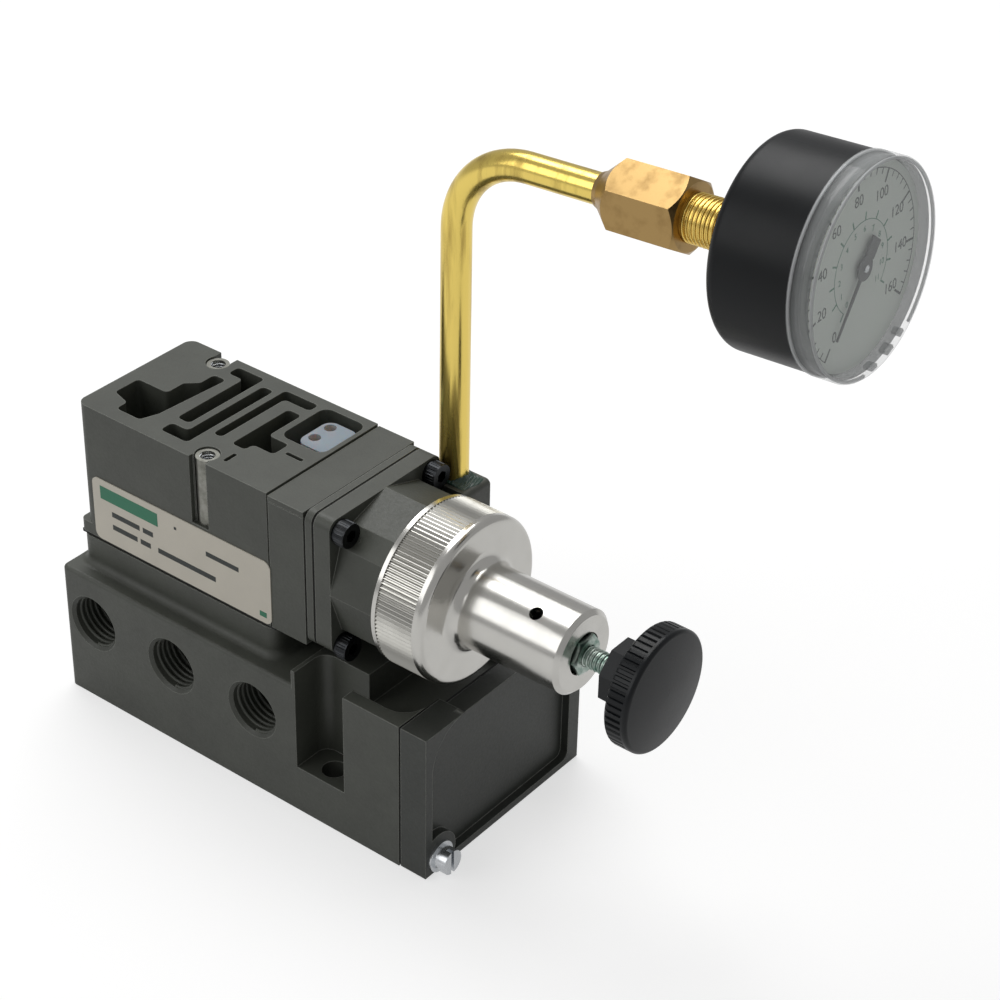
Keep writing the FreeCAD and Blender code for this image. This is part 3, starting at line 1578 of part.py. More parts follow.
base_block()
base_gasket()
regulator_body()
cut_cap_screw_holes()
clamp_screw("mounting_screw_front", "ClampFront", clamps[0])
clamp_screw("mounting_screw_rear", "ClampRear", clamps[1])
port_insert()
label_plate()
stack_plate("PlateGasket", "plate_gasket", body_right, size.plate_seal, size.chamber_radius, 0.3)
stack_plate("AdapterPlate", "adapter_plate", plate_start, size.plate_thickness, size.chamber_radius)
stack_plate("Diaphragm", "diaphragm", diaphragm_start, size.diaphragm_thickness, None, 0.25)
bonnet()
bonnet_screws()
spring_cap()
cap_nut()
adjusting_screw()
knob()
upper_spring_seat()
range_spring()
diaphragm_plate()
valve_parts()
brass_tube()
tube_sealant()
hex_adapter()
gauge_socket()
gauge_case()
bourdon_tube()
movement_plate()
dial()
pointer()
lens()
end_cover()
cover_screw_set()
check_document()
write_parts()
print(f"{len(finished)} parts written")
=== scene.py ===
# %% [markdown]
# # A pressure regulator on its ported base
#
# This notebook dresses a finished mechanical model. The castings, the tube, the knob and the
# gauge come in as a fixed frame, already in metres. What is added here is what a CAD model
# leaves out: paint, turned metal, polished brass, threads, knurling, the printed dial and a
# camera and lamps that show them.

import math

import bmesh
import bpy
from mathutils import Matrix, Vector


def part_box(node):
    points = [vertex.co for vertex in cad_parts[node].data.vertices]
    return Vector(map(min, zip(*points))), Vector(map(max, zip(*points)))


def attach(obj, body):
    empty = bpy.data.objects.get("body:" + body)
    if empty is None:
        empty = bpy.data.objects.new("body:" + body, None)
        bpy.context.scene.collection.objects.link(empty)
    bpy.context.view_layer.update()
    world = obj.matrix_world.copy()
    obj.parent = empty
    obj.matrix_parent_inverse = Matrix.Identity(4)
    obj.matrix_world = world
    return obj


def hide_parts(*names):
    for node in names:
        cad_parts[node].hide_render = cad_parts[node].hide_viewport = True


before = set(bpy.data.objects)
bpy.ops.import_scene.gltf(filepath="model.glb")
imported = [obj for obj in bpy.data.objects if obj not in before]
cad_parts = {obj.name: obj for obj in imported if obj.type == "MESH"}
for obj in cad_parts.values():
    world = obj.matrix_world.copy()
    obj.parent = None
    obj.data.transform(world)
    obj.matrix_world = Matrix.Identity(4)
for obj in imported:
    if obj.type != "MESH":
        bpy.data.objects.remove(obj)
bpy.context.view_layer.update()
MM = 0.001
print("pieces in the frame:", len(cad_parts))

# %% [markdown]
# ## Lines that the object is built on
#
# Almost everything round sits on one of two lines. The adjusting axis runs level through the
# valve, the spring and the knob. The gauge axis starts where the tube turns over and climbs
# a few degrees. A matrix for each puts a piece that is drawn along X straight into place.

# %% The two axes
axis_across = -4.5
axis_height = 58.5
gauge_foot = Vector((28.8, 16.45, 147.5))
gauge_tilt = 3.8


def shift(x, y, z):
    return Matrix.Translation(Vector((x, y, z)) * MM)


adjusting_axis = shift(0, axis_across, axis_height)
gauge_axis = shift(*gauge_foot) @ Matrix.Rotation(math.radians(-gauge_tilt), 4, "Y")
print("gauge axis climbs", gauge_tilt, "degrees")

# %% [markdown]
# ## A short way to write node trees
#
# A material or a Geometry Nodes tree is a set of nodes and links. Written out in full it hides
# the idea behind the wiring. This small class wraps a socket, so that `noise * 0.3 + 0.4` or
# `1 - mask` adds its Math nodes by itself, and one method adds any other node.


# %% Sockets that do arithmetic
class Socket:
    def __init__(self, nodes, socket):
        self.nodes = nodes
        self.socket = socket

    def __add__(self, other):
        return self.nodes.math("ADD", self, other)

    def __radd__(self, other):
        return self.nodes.math("ADD", other, self)

    def __sub__(self, other):
        return self.nodes.math("SUBTRACT", self, other)

    def __rsub__(self, other):
        return self.nodes.math("SUBTRACT", other, self)

    def __mul__(self, other):
        return self.nodes.math("MULTIPLY", self, other)

    def __rmul__(self, other):
        return self.nodes.math("MULTIPLY", other, self)

    def __truediv__(self, other):
        return self.nodes.math("DIVIDE", self, other)


class Nodes:
    """Adds nodes to one tree, each with its settings first and then what feeds its sockets."""

    def __init__(self, tree):
        self.tree = tree

    def add(self, kind, settings=None, inputs=None, output=0):
        node = self.tree.nodes.new(kind)
        for name, value in (settings or {}).items():
            if name == "stops":
                self.set_stops(node, value)
            else:
                setattr(node, name, value)
        for name, value in (inputs or {}).items():
            self.feed(node.inputs[name], value)
        return Socket(self, node.outputs[output])

    def feed(self, socket, value):
        if isinstance(value, Socket):
            self.tree.links.new(value.socket, socket)
        else:
            socket.default_value = value

    def set_stops(self, node, stops):
        for element, (position, level) in zip(node.color_ramp.elements, stops):
            element.position = position
            element.color = (level, level, level, 1.0)

    def math(self, operation, first, second=0.0):
        return self.add("ShaderNodeMath", {"operation": operation}, {0: first, 1: second})


# %% [markdown]
# ## Colours and a plain recipe for a finish
#
# Colours are read off as screen values, but shaders work on linear light, so each one is
# converted first. Every finish starts with one Principled BSDF. What stays the same all over is
# set on the shader itself, and only what varies is wired in.


# %% Colours and the finish recipe
def screen_colour(red, green, blue):
    def linear(value):
        value /= 255
        return value / 12.92 if value <= 0.04045 else ((value + 0.055) / 1.055) ** 2.4
    return (linear(red), linear(green), linear(blue))


def new_finish(name, colour, roughness, metallic=0.0, **constants):
    """A material with one Principled BSDF; the values given are the same all over."""
    material = bpy.data.materials.new(name)
    material.use_nodes = True
    shader = material.node_tree.nodes["Principled BSDF"]
    shader.inputs["Base Color"].default_value = (*colour, 1.0)
    shader.inputs["Roughness"].default_value = roughness
    shader.inputs["Metallic"].default_value = metallic
    for label, value in constants.items():
        shader.inputs[label.replace("_", " ")].default_value = value
    return material, Nodes(material.node_tree), shader


print("screen grey 128 in linear light:", round(screen_colour(128, 128, 128)[0], 3))

# %% [markdown]
# ## Patterns that vary a finish
#
# Nothing that has been made and used is even all over. A noise on the object's own coordinates
# gives the unevenness, and it stays put when a piece moves. The frame is in metres, so a
# noise's scale counts patches per metre: 120 gives patches of 8 mm and 1500 a grain of 0.7 mm.
# Four helpers turn a noise into something to see: stretched coordinates, a slope with sharper
# ends, a mix of two colours and a bump.


# %% Patterns
def mix_colours(nodes, factor, first, second):
    """The Mix node has a set of sockets for each type; 6, 7 and output 2 are the colours."""
    first, second = ((*side, 1.0) if isinstance(side, tuple) else side for side in (first, second))
    inputs = {0: factor, 6: first, 7: second}
    return nodes.add("ShaderNodeMix", {"data_type": "RGBA"}, inputs, output=2)


def object_place(nodes, stretch=(1, 1, 1)):
    """Object coordinates, scaled by axis so that a pattern can run along one of them."""
    place = nodes.add("ShaderNodeTexCoord", output="Object")
    if stretch == (1, 1, 1):
        return place
    return nodes.add("ShaderNodeMapping", inputs={"Vector": place, "Scale": stretch})


def noise(nodes, place, scale, detail, roughness=0.5):
    return nodes.add("ShaderNodeTexNoise", inputs={
        "Vector": place, "Scale": scale, "Detail": detail, "Roughness": roughness})


def slope(nodes, factor, low, high):
    """Black where the factor is under low, white over high, and a slope between them."""
    return nodes.add("ShaderNodeValToRGB", {"stops": [(low, 0.0), (high, 1.0)]}, {"Fac": factor})


def bump(nodes, shader, height, strength, distance, soft_edge=None):
    inputs = {"Height": height, "Strength": strength, "Distance": distance}
    if soft_edge is not None:
        inputs["Normal"] = soft_edge
    nodes.feed(shader.inputs["Normal"], nodes.add("ShaderNodeBump", inputs=inputs))


# %% [markdown]
# ## Painted castings
#
# The base, the body, the bonnet and the end cover are castings under a dark grey-green paint.
# Such paint is never smooth: it follows the cast skin and dries with a fine orange peel.
# Two noises give that, one broad and one fine. A Bevel node rounds the normals at every edge, and
# where the rounded normal leaves the flat one the colour turns paler: partly paint rubbed thin,
# partly a painted highlight for the sheen that edges catch.
# The end cover has its own darker pair of colours: partly its own darker paint, partly painted
# shade for the face it turns away from the lamps.

# %% Casting paint
casting_grey = screen_colour(65, 67, 61)
casting_worn = screen_colour(87, 90, 82)
# Bare metal where the paint is rubbed through, and also a painted highlight for the sheen that
# edges catch.
bare_and_lit_edge = screen_colour(172, 174, 166)
edge_round = 0.35 * MM
edge_gain = 9.0
edge_wear_and_sheen = 0.75


# The paler edge measured here is partly wear and partly a painted edge highlight.
def rubbed_edge(nodes, soft, patchy):
    """How far the rounded normal has left the flat one, from 0 on a face to 1 on an edge."""
    flat = nodes.add("ShaderNodeNewGeometry", output="Normal")
    aligned = nodes.add(
        "ShaderNodeVectorMath", {"operation": "DOT_PRODUCT"}, {0: soft, 1: flat}, output="Value")
    return nodes.math("MINIMUM", (1.0 - aligned) * edge_gain * patchy, 1.0)


def casting_paint(name, colour, pale):
    material, nodes, shader = new_finish(name, colour, 0.5)
    place = object_place(nodes)
    broad = noise(nodes, place, 120.0, 4.0, 0.55)
    fine = noise(nodes, place, 1500.0, 2.0)
    speck = noise(nodes, place, 5200.0, 1.0)
    tint = slope(nodes, broad, 0.3, 0.75)
    soft = nodes.add("ShaderNodeBevel", {"samples": 4}, {"Radius": edge_round})
    painted = mix_colours(nodes, tint * 0.4 + speck * 0.3, colour, pale)
    # Paler towards every edge: worn paint and a painted edge highlight together.
    worn_and_lit = rubbed_edge(nodes, soft, noise(nodes, place, 500.0, 3.0, 0.6)) * edge_wear_and_sheen
    nodes.feed(shader.inputs["Base Color"], mix_colours(nodes, worn_and_lit, painted, bare_and_lit_edge))
    nodes.feed(shader.inputs["Roughness"], fine * 0.22 + 0.36)
    bump(nodes, shader, fine + speck * 0.5, 0.3, 0.12 * MM, soft)
    return material


casting = casting_paint("casting_paint", casting_grey, casting_worn)
# Darker than the castings: partly the cover's own paint, partly painted shade for its side away
# from the lamps.
cover_paint_and_shade = casting_paint("cover_paint_and_shade", screen_colour(46, 49, 45), screen_colour(62, 65, 60))
print("casting colour", [round(value, 3) for value in casting_grey])

# %% [markdown]
# ## Bright turned aluminium
#
# The spring cap is turned on a lathe and left bright. The tool leaves rings that run round the
# axis, far too fine to model. A noise squeezed along the axis and left long around it
# draws those rings in the roughness and in a very shallow bump. The ridges of the knurl are
# duller, and so are the seats inside and the spring wire.

# %% Turned metals
rings_per_metre = 9000.0
long_around = (1.0, 0.03, 0.03)


def turned_metal(name, colour, shade, roughness):
    material, nodes, shader = new_finish(name, colour, roughness, metallic=1.0)
    ring = noise(nodes, object_place(nodes, long_around), rings_per_metre, 2.0)
    cloud = noise(nodes, object_place(nodes), 160.0, 3.0)
    nodes.feed(shader.inputs["Base Color"], mix_colours(nodes, cloud * 0.5, colour, shade))
    nodes.feed(shader.inputs["Roughness"], ring * 0.12 + cloud * 0.1 + (roughness - 0.1))
    bump(nodes, shader, ring, 0.08, 0.02 * MM)
    return material


cap_metal = turned_metal("turned_aluminium", (0.64, 0.63, 0.60), (0.46, 0.45, 0.42), 0.2)
knurled_metal = turned_metal("knurled_aluminium", (0.36, 0.355, 0.33), (0.26, 0.255, 0.235), 0.3)
inner_metal = turned_metal("inner_aluminium", (0.62, 0.62, 0.61), (0.5, 0.5, 0.5), 0.35)
spring_steel = turned_metal("spring_steel", (0.42, 0.42, 0.43), (0.3, 0.3, 0.31), 0.35)
print("turned metals:", cap_metal.name, knurled_metal.name, inner_metal.name, spring_steel.name)

# %% [markdown]
# ## Brass, polished and handled
#
# The tube is polished brass that has been bent by hand, so brown tarnish lies along it in long
# streaks. The fitting is cut from bar and has a drier, tanner look. Both are one recipe with
# different colours: a metal whose colour slides towards its tarnish by a stretched noise.


# %% Brass
def brass_finish(name, colour, tarnish, roughness, stretch, amount):
    material, nodes, shader = new_finish(name, colour, roughness, metallic=1.0)
    streak = noise(nodes, object_place(nodes, stretch), 260.0, 4.0, 0.6)
    fine = noise(nodes, object_place(nodes), 2400.0, 2.0)
    mask = slope(nodes, streak, 0.48, 0.72)
    nodes.feed(shader.inputs["Base Color"], mix_colours(nodes, mask * amount, colour, tarnish))
    nodes.feed(shader.inputs["Roughness"], mask * 0.16 + fine * 0.06 + roughness)
    bump(nodes, shader, fine, 0.06, 0.02 * MM)
    return material


upright_streaks = (1.0, 1.0, 0.1)
even_patches = (1, 1, 1)
tube_brass = brass_finish(
    "tube_brass", (0.92, 0.70, 0.18), (0.28, 0.18, 0.045), 0.17, upright_streaks, 0.7)
fitting_brass = brass_finish(
    "fitting_brass", (0.42, 0.275, 0.11), (0.28, 0.17, 0.06), 0.26, even_patches, 0.55)
stem_brass = brass_finish(
    "stem_brass", (0.84, 0.60, 0.16), (0.45, 0.27, 0.06), 0.2, even_patches, 0.4)
print("brass:", tube_brass.name, fitting_brass.name, stem_brass.name)

# %% [markdown]
# ## Plated and blackened steel
#
# The nut and the adjusting screw are zinc plated, and the thread compound on them has left a
# green tint in the roots. The four bonnet screws are blackened. The cover screw is newer zinc
# and brighter than the two mounting screws, which have gone dull. One recipe with a patchy
# stain covers them all.


# %% Steel parts
def plated_steel(name, colour, stain, amount, roughness):
    material, nodes, shader = new_finish(name, colour, roughness, metallic=1.0)
    patch = noise(nodes, object_place(nodes), 420.0, 4.0, 0.6)
    mask = slope(nodes, patch, 0.4, 0.65)
    nodes.feed(shader.inputs["Base Color"], mix_colours(nodes, mask * amount, colour, stain))
    nodes.feed(shader.inputs["Roughness"], patch * 0.25 + (roughness - 0.1))
    return material


green_zinc = plated_steel("green_zinc", (0.46, 0.52, 0.48), (0.05, 0.17, 0.12), 0.75, 0.3)
bright_zinc = plated_steel("bright_zinc", (0.70, 0.72, 0.74), (0.5, 0.52, 0.55), 0.4, 0.24)
dull_zinc = plated_steel("dull_zinc", (0.30, 0.30, 0.27), (0.14, 0.14, 0.12), 0.7, 0.4)
black_steel = plated_steel("black_steel", (0.03, 0.032, 0.035), (0.06, 0.06, 0.06), 0.4, 0.28)
print("steel:", green_zinc.name, bright_zinc.name, dull_zinc.name, black_steel.name)

# %% [markdown]
# ## Rubber and plastics
#
# Gaskets show only as thin dark lines. The knob is moulded in hard black plastic with a light
# sheen, the gauge case is satin black, and the small block in the outlet pocket lets some light
# through. Moulded plastic gets its life from a faint unevenness in roughness, not in colour.


# %% Rubber and plastics
def moulded(name, colour, roughness, grain, depth, **constants):
    material, nodes, shader = new_finish(name, colour, roughness, **constants)
    place = object_place(nodes)
    cloud = noise(nodes, place, 140.0, 3.0)
    skin = noise(nodes, place, grain, 2.0)
    lighter = tuple(min(1.0, value * 1.35 + 0.004) for value in colour)
    nodes.feed(shader.inputs["Base Color"], mix_colours(nodes, cloud * 0.5, colour, lighter))
    nodes.feed(shader.inputs["Roughness"], cloud * 0.12 + skin * 0.1 + (roughness - 0.1))
    bump(nodes, shader, skin, depth, 0.05 * MM)
    return material


seal_rubber = moulded("seal_rubber", screen_colour(26, 26, 25), 0.75, 2200.0, 0.2)
knob_plastic = moulded(
    "knob_plastic", screen_colour(16, 19, 22), 0.3, 1800.0, 0.1, Specular_IOR_Level=0.26)
case_plastic = moulded(
    "case_plastic", screen_colour(9, 12, 15), 0.36, 2600.0, 0.06, Specular_IOR_Level=0.24)
insert_plastic = moulded(
    "insert_plastic", screen_colour(142, 150, 160), 0.35, 900.0, 0.1, Subsurface_Weight=0.3)
label_film = moulded("label_film", screen_colour(214, 208, 194), 0.38, 600.0, 0.03)
dial_paper = moulded("dial_paper", screen_colour(240, 250, 238), 0.5, 1500.0, 0.04)
pointer_paint = moulded("pointer_paint", screen_colour(18, 20, 22), 0.4, 1500.0, 0.04)
print("plastics:", knob_plastic.name, case_plastic.name, insert_plastic.name, label_film.name)

# %% [markdown]
# ## The clear lens
#
# The gauge's front is a clear plastic cap that snaps over the case. It shows by its reflections and
# by its bright edge. Real refraction is slow to render, so the shader stays a glossy plastic and
# only its alpha changes: nearly nothing where the surface faces the eye, and more where it turns
# away. Its pale colour then shows towards the rim as a painted reflection for the bright edge.

# %% Lens
lens_plastic, lens_nodes, lens_shader = new_finish(
    "lens_plastic", (0.88, 0.91, 0.91), 0.07, Specular_IOR_Level=0.6)
# The pale colour that shows where the surface turns away is a painted reflection for the lens's
# bright edge.
edge_on = lens_nodes.add("ShaderNodeLayerWeight", inputs={"Blend": 0.35}, output="Facing")
lens_nodes.feed(lens_shader.inputs["Alpha"], edge_on * 0.42 + 0.03)
print("finishes:", len(bpy.data.materials))

# %% [markdown]
# ## Give the frame its finishes
#
# Each piece that keeps its own shape gets its material in its material slots. The mesh itself
# is not touched.

# %% Dress the frame
finishes = {
    "base_block": casting,
    "regulator_body": casting,
    "adapter_plate": casting,
    "bonnet": casting,
    "end_cover": cover_paint_and_shade,
    "base_gasket": seal_rubber,
    "plate_gasket": seal_rubber,
    "diaphragm": seal_rubber,
    "cover_gasket": seal_rubber,
    "poppet_seal": seal_rubber,
    "mounting_screw_front": dull_zinc,
    "mounting_screw_rear": dull_zinc,
    "bonnet_screws": black_steel,
    "spring_cap": cap_metal,
    "cap_nut": green_zinc,
    "adjusting_screw": green_zinc,
    "cover_screws": bright_zinc,
    "cover_washers": bright_zinc,
    "pointer_spindle": bright_zinc,
    "knob": knob_plastic,
    "upper_spring_seat": inner_metal,
    "diaphragm_plate": inner_metal,
    "range_spring": spring_steel,
    "poppet_spring": spring_steel,
    "valve_poppet": fitting_brass,
    "valve_seat": fitting_brass,
    "brass_tube": tube_brass,
    "hex_adapter": fitting_brass,
    "gauge_socket": stem_brass,
    "bourdon_tube": fitting_brass,
    "movement_plate": fitting_brass,
    "gauge_case": case_plastic,
    "dial": dial_paper,
    "pointer": pointer_paint,
    "lens": lens_plastic,
    "label": label_film,
    "port_insert": insert_plastic,
}
for node_name, material in finishes.items():
    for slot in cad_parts[node_name].material_slots:
        slot.material = material
print("dressed", len(finishes), "pieces")

# %% [markdown]
# ## Geometry Nodes trees with named sizes
#
# Threads, knurling, grip lines and dial marks all repeat. Each is a small tree with named
# inputs, so one tree serves several pieces. Every tree ends the same way: its copies become
# real geometry and get their material. Most of these shapes lie along X, like the axes above,
# while Blender makes its cylinders and spirals along Z, so one helper lays them down.


# %% Helpers for the trees
def new_tree(name, sizes):
    """A geometry tree with one input socket for each named size."""
    tree = bpy.data.node_groups.new(name, "GeometryNodeTree")
    tree.interface.new_socket("Geometry", in_out="OUTPUT", socket_type="NodeSocketGeometry")
    for label, default in sizes.items():
        kind = "NodeSocketInt" if isinstance(default, int) else "NodeSocketFloat"
        tree.interface.new_socket(label, in_out="INPUT", socket_type=kind).default_value = default
    entry = tree.nodes.new("NodeGroupInput")
    nodes = Nodes(tree)
    sockets = {label: Socket(nodes, entry.outputs[label]) for label in sizes}
    return tree, nodes, sockets


def close_tree(tree, nodes, geometry, material):
    whole = nodes.add("GeometryNodeRealizeInstances", inputs={"Geometry": geometry})
    painted = nodes.add("GeometryNodeSetMaterial", inputs={"Geometry": whole, "Material": material})
    exit_node = tree.nodes.new("NodeGroupOutput")
    nodes.feed(exit_node.inputs[0], painted)


def along_x(nodes, geometry):
    """Lay a shape that stands along Z down along X."""
    return nodes.add("GeometryNodeTransform", inputs={
        "Geometry": geometry, "Rotation": (0, math.pi / 2, 0)})


# %% [markdown]
# ## From a tree to a piece on a body
#
# A tree is run on an empty mesh, and its result is copied out as a plain mesh, so that no modifier
# is left when the piece joins its body. A piece may hold several such meshes. It rides on one body
# of the frame and takes the materials of its first mesh.


# %% Helpers for the pieces
def grown_mesh(tree, sizes, place):
    """Run a tree with these sizes and return its result as a plain mesh, moved to its place."""
    carrier = bpy.data.objects.new("carrier", bpy.data.meshes.new("carrier"))
    bpy.context.collection.objects.link(carrier)
    modifier = carrier.modifiers.new("grow", "NODES")
    modifier.node_group = tree
    for item in tree.interface.items_tree:
        if item.in_out == "INPUT" and item.name in sizes:
            modifier[item.identifier] = sizes[item.name]
    bpy.context.view_layer.update()
    ready = carrier.evaluated_get(bpy.context.evaluated_depsgraph_get())
    mesh = bpy.data.meshes.new_from_object(ready)
    bpy.data.objects.remove(carrier)
    mesh.transform(place)
    return mesh


def one_piece(name, meshes, body, smooth=True):
    """Join meshes into one object that rides on a body."""
    joined = bmesh.new()
    materials = list(meshes[0].materials)
    for mesh in meshes:
        joined.from_mesh(mesh)
    data = bpy.data.meshes.new(name)
    joined.to_mesh(data)
    joined.free()
    for material in materials:
        data.materials.append(material)
    for polygon in data.polygons:
        polygon.use_smooth = smooth
    piece = bpy.data.objects.new(name, data)
    bpy.context.collection.objects.link(piece)
    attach(piece, body)
    print(name, len(data.polygons), "faces")
    return piece


# %% [markdown]
# ## Knurling and grip lines
#
# The cap's collar is knurled with fine straight ridges, and the heads of the socket screws
# have the same in miniature. One ring of bars makes both: a four-sided bar, one edge outwards,
# is set on points that are placed by angle. The point's number times the step gives the angle.


# %% Ring of bars
def set_on_ring(nodes, size, shape, angle):
    """Copies of a shape on a circle round X, one at each angle and turned with it."""
    position = nodes.add("ShaderNodeCombineXYZ", inputs={
        "X": size["Along"],
        "Y": nodes.math("COSINE", angle) * size["Radius"],
        "Z": nodes.math("SINE", angle) * size["Radius"],
    })
    points = nodes.add("GeometryNodePoints", inputs={"Count": size["Count"], "Position": position})
    turn = nodes.add("ShaderNodeCombineXYZ", inputs={"X": angle})
    return nodes.add("GeometryNodeInstanceOnPoints", inputs={
        "Points": points, "Instance": shape, "Rotation": turn})


def ring_of_bars(name, material):
    tree, nodes, size = new_tree(name, {
        "Count": 60, "Radius": 0.01, "Length": 0.01, "Bar": 0.001, "Along": 0.0})
    bar = along_x(nodes, nodes.add("GeometryNodeMeshCylinder", inputs={
        "Vertices": 4, "Radius": size["Bar"], "Depth": size["Length"]}))
    angle = nodes.add("GeometryNodeInputIndex") * (2 * math.pi) / size["Count"]
    close_tree(tree, nodes, set_on_ring(nodes, size, bar, angle), material)
    return tree


collar_ring = ring_of_bars("collar_ring", knurled_metal)
knurl = grown_mesh(collar_ring, {
    "Count": 118, "Radius": 18.62 * MM, "Length": 9.6 * MM, "Bar": 0.42 * MM, "Along": 45.55 * MM,
}, adjusting_axis)
one_piece("collar_knurl", [knurl], "body", smooth=False)

# %% [markdown]
# ## Grip lines on the socket screws
#
# The four socket screws that hold the bonnet have fine lines round their heads, for fingers.
# They come from the same ring of bars, only smaller. The screws stand in a square round the
# adjusting axis, so two loops over the square's half width place all four.

# %% Screw head grips
head_ring = ring_of_bars("head_ring", black_steel)
half_square = 14.5
head_middle = 29.3
head_grips = []
for side in (-half_square, half_square):
    for level in (-half_square, half_square):
        place = adjusting_axis @ shift(head_middle, side, level)
        head_grips.append(grown_mesh(head_ring, {
            "Count": 28, "Radius": 2.7 * MM, "Length": 2.2 * MM, "Bar": 0.15 * MM, "Along": 0.0,
        }, place))
one_piece("screw_head_grips", head_grips, "body", smooth=False)

# %% [markdown]
# ## Threads
#
# A thread is one ridge wound round a core. The tree winds a spiral, gives it a small
# six-sided section and lays it along X. Outside threads sit on a rod and inside ones line a
# bore, and only the radius tells them apart. The adjusting screw comes first: its ridge rides
# on the adjuster, so it moves in and out with the knob.


# %% Thread tree
def thread_tree(name, material):
    tree, nodes, size = new_tree(name, {
        "Radius": 0.002, "Pitch": 0.001, "Turns": 5.0, "Ridge": 0.0003, "Start": 0.0})
    spiral = nodes.add("GeometryNodeCurveSpiral", inputs={
        "Resolution": 32, "Rotations": size["Turns"], "Start Radius": size["Radius"],
        "End Radius": size["Radius"], "Height": size["Turns"] * size["Pitch"]})
    section = nodes.add("GeometryNodeCurvePrimitiveCircle", inputs={
        "Resolution": 6, "Radius": size["Ridge"]})
    ridge = nodes.add("GeometryNodeCurveToMesh", inputs={
        "Curve": spiral, "Profile Curve": section, "Fill Caps": True})
    laid = along_x(nodes, ridge)
    start = nodes.add("ShaderNodeCombineXYZ", inputs={"X": size["Start"]})
    moved = nodes.add("GeometryNodeTransform", inputs={"Geometry": laid, "Translation": start})
    close_tree(tree, nodes, moved, material)
    return tree


screw_thread = thread_tree("screw_thread", green_zinc)
exposed = grown_mesh(screw_thread, {
    "Radius": 2.06 * MM, "Pitch": 1.0 * MM, "Turns": 14.6, "Ridge": 0.34 * MM, "Start": 74.0 * MM,
}, adjusting_axis)
one_piece("adjusting_thread", [exposed], "adjuster")

# %% [markdown]
# ## The thread on the gauge's stem
#
# The gauge screws into the hex fitting by a brass stem, and part of its thread stays in view.
# It is the same tree on the gauge axis, with a finer pitch and the stem's own brass.

# %% Stem thread
stem_thread = thread_tree("stem_thread", stem_brass)
stem_ridge = grown_mesh(stem_thread, {
    "Radius": 4.8 * MM, "Pitch": 0.94 * MM, "Turns": 16.6, "Ridge": 0.28 * MM, "Start": 57.5 * MM,
}, gauge_axis)
one_piece("gauge_stem_thread", [stem_ridge], "body")

# %% [markdown]
# ## Pipe threads in the ports
#
# Three ports open at the front and two at the back. Their pipe thread is the coarsest here,
# about 18 turns to the inch, and it is cut into the casting, so the ridge wears the casting's
# paint. The ridge starts a little inside the bore's mouth. One loop serves both faces: the
# side's sign gives the face and the turn that points the thread inward.

# %% Port threads
port_thread = thread_tree("port_thread", casting)
port_face = 27.0
port_height = 21.2
port_size = {
    "Radius": 6.36 * MM, "Pitch": 1.41 * MM, "Turns": 9.0, "Ridge": 0.5 * MM, "Start": 1.3 * MM}
ports = [(-40.9, -1), (-16.4, -1), (8.1, -1), (-28.65, 1), (-4.15, 1)]
port_ridges = []
for along, side in ports:
    mouth = shift(along, side * port_face, port_height)
    inward = mouth @ Matrix.Rotation(math.radians(-90 * side), 4, "Z")
    port_ridges.append(grown_mesh(port_thread, port_size, inward))
one_piece("port_threads", port_ridges, "body")

# %% [markdown]
# ## Threads in the two screw heads
#
# The two screws that hold the body to its base have a tapped hole in the head, which takes the
# screws of the valve above. This thread runs down from the top of the head.

# %% Threads in the two screw heads
stack_thread = thread_tree("stack_thread", bright_zinc)
thread_top = 76.0
stack_ridges = []
for along, across in ((-9.6, -19.0), (-33.9, 9.6)):
    downward = shift(along, across, thread_top) @ Matrix.Rotation(math.radians(90), 4, "Y")
    stack_ridges.append(grown_mesh(stack_thread, {
        "Radius": 1.72 * MM, "Pitch": 0.7 * MM, "Turns": 9.0, "Ridge": 0.25 * MM, "Start": 0.4 * MM,
    }, downward))
one_piece("stack_screw_threads", stack_ridges, "body")

# %% [markdown]
# ## The dial
#
# The scale is printed round three quarters of a turn. The zero is at the lower left, where the
# pointer rests, and the values climb clockwise. Tick marks are thin boxes on an arc, which is
# the ring of bars again with a start angle and a step. The two arcs are rings of many short
# ticks that touch. An ink mark lies a little proud of the dial, or the two would flicker.

# %% Tick marks
scale_start = 232.0
scale_sweep = -270.0
dial_front = 93.6
ink_thickness = 0.05
tick_lift, number_lift = 0.02, 0.03


def tick_tree(name, material):
    tree, nodes, size = new_tree(name, {
        "Count": 9, "First": 0.0, "Step": 0.1, "Radius": 0.01, "Length": 0.002, "Width": 0.0003,
        "Along": 0.0})
    edges = nodes.add("ShaderNodeCombineXYZ", inputs={
        "X": ink_thickness * MM, "Y": size["Length"], "Z": size["Width"]})
    box = nodes.add("GeometryNodeMeshCube", inputs={"Size": edges})
    angle = nodes.add("GeometryNodeInputIndex") * size["Step"] + size["First"]
    close_tree(tree, nodes, set_on_ring(nodes, size, box, angle), material)
    return tree


dark_ink = moulded("dark_ink", screen_colour(38, 44, 42), 0.5, 1500.0, 0.0)
green_ink = moulded("green_ink", screen_colour(46, 122, 92), 0.5, 1500.0, 0.0)
dark_ticks = tick_tree("dark_ticks", dark_ink)
green_ticks = tick_tree("green_ticks", green_ink)


def tick_ring(tree, count, radius, length, width):
    """Marks spread evenly over the scale; the sizes are in mm."""
    return grown_mesh(tree, {
        "Count": count,
        "First": math.radians(scale_start),
        "Step": math.radians(scale_sweep) / (count - 1),
        "Radius": radius * MM,
        "Length": length * MM,
        "Width": width * MM,
        "Along": (dial_front + tick_lift) * MM,
    }, gauge_axis)


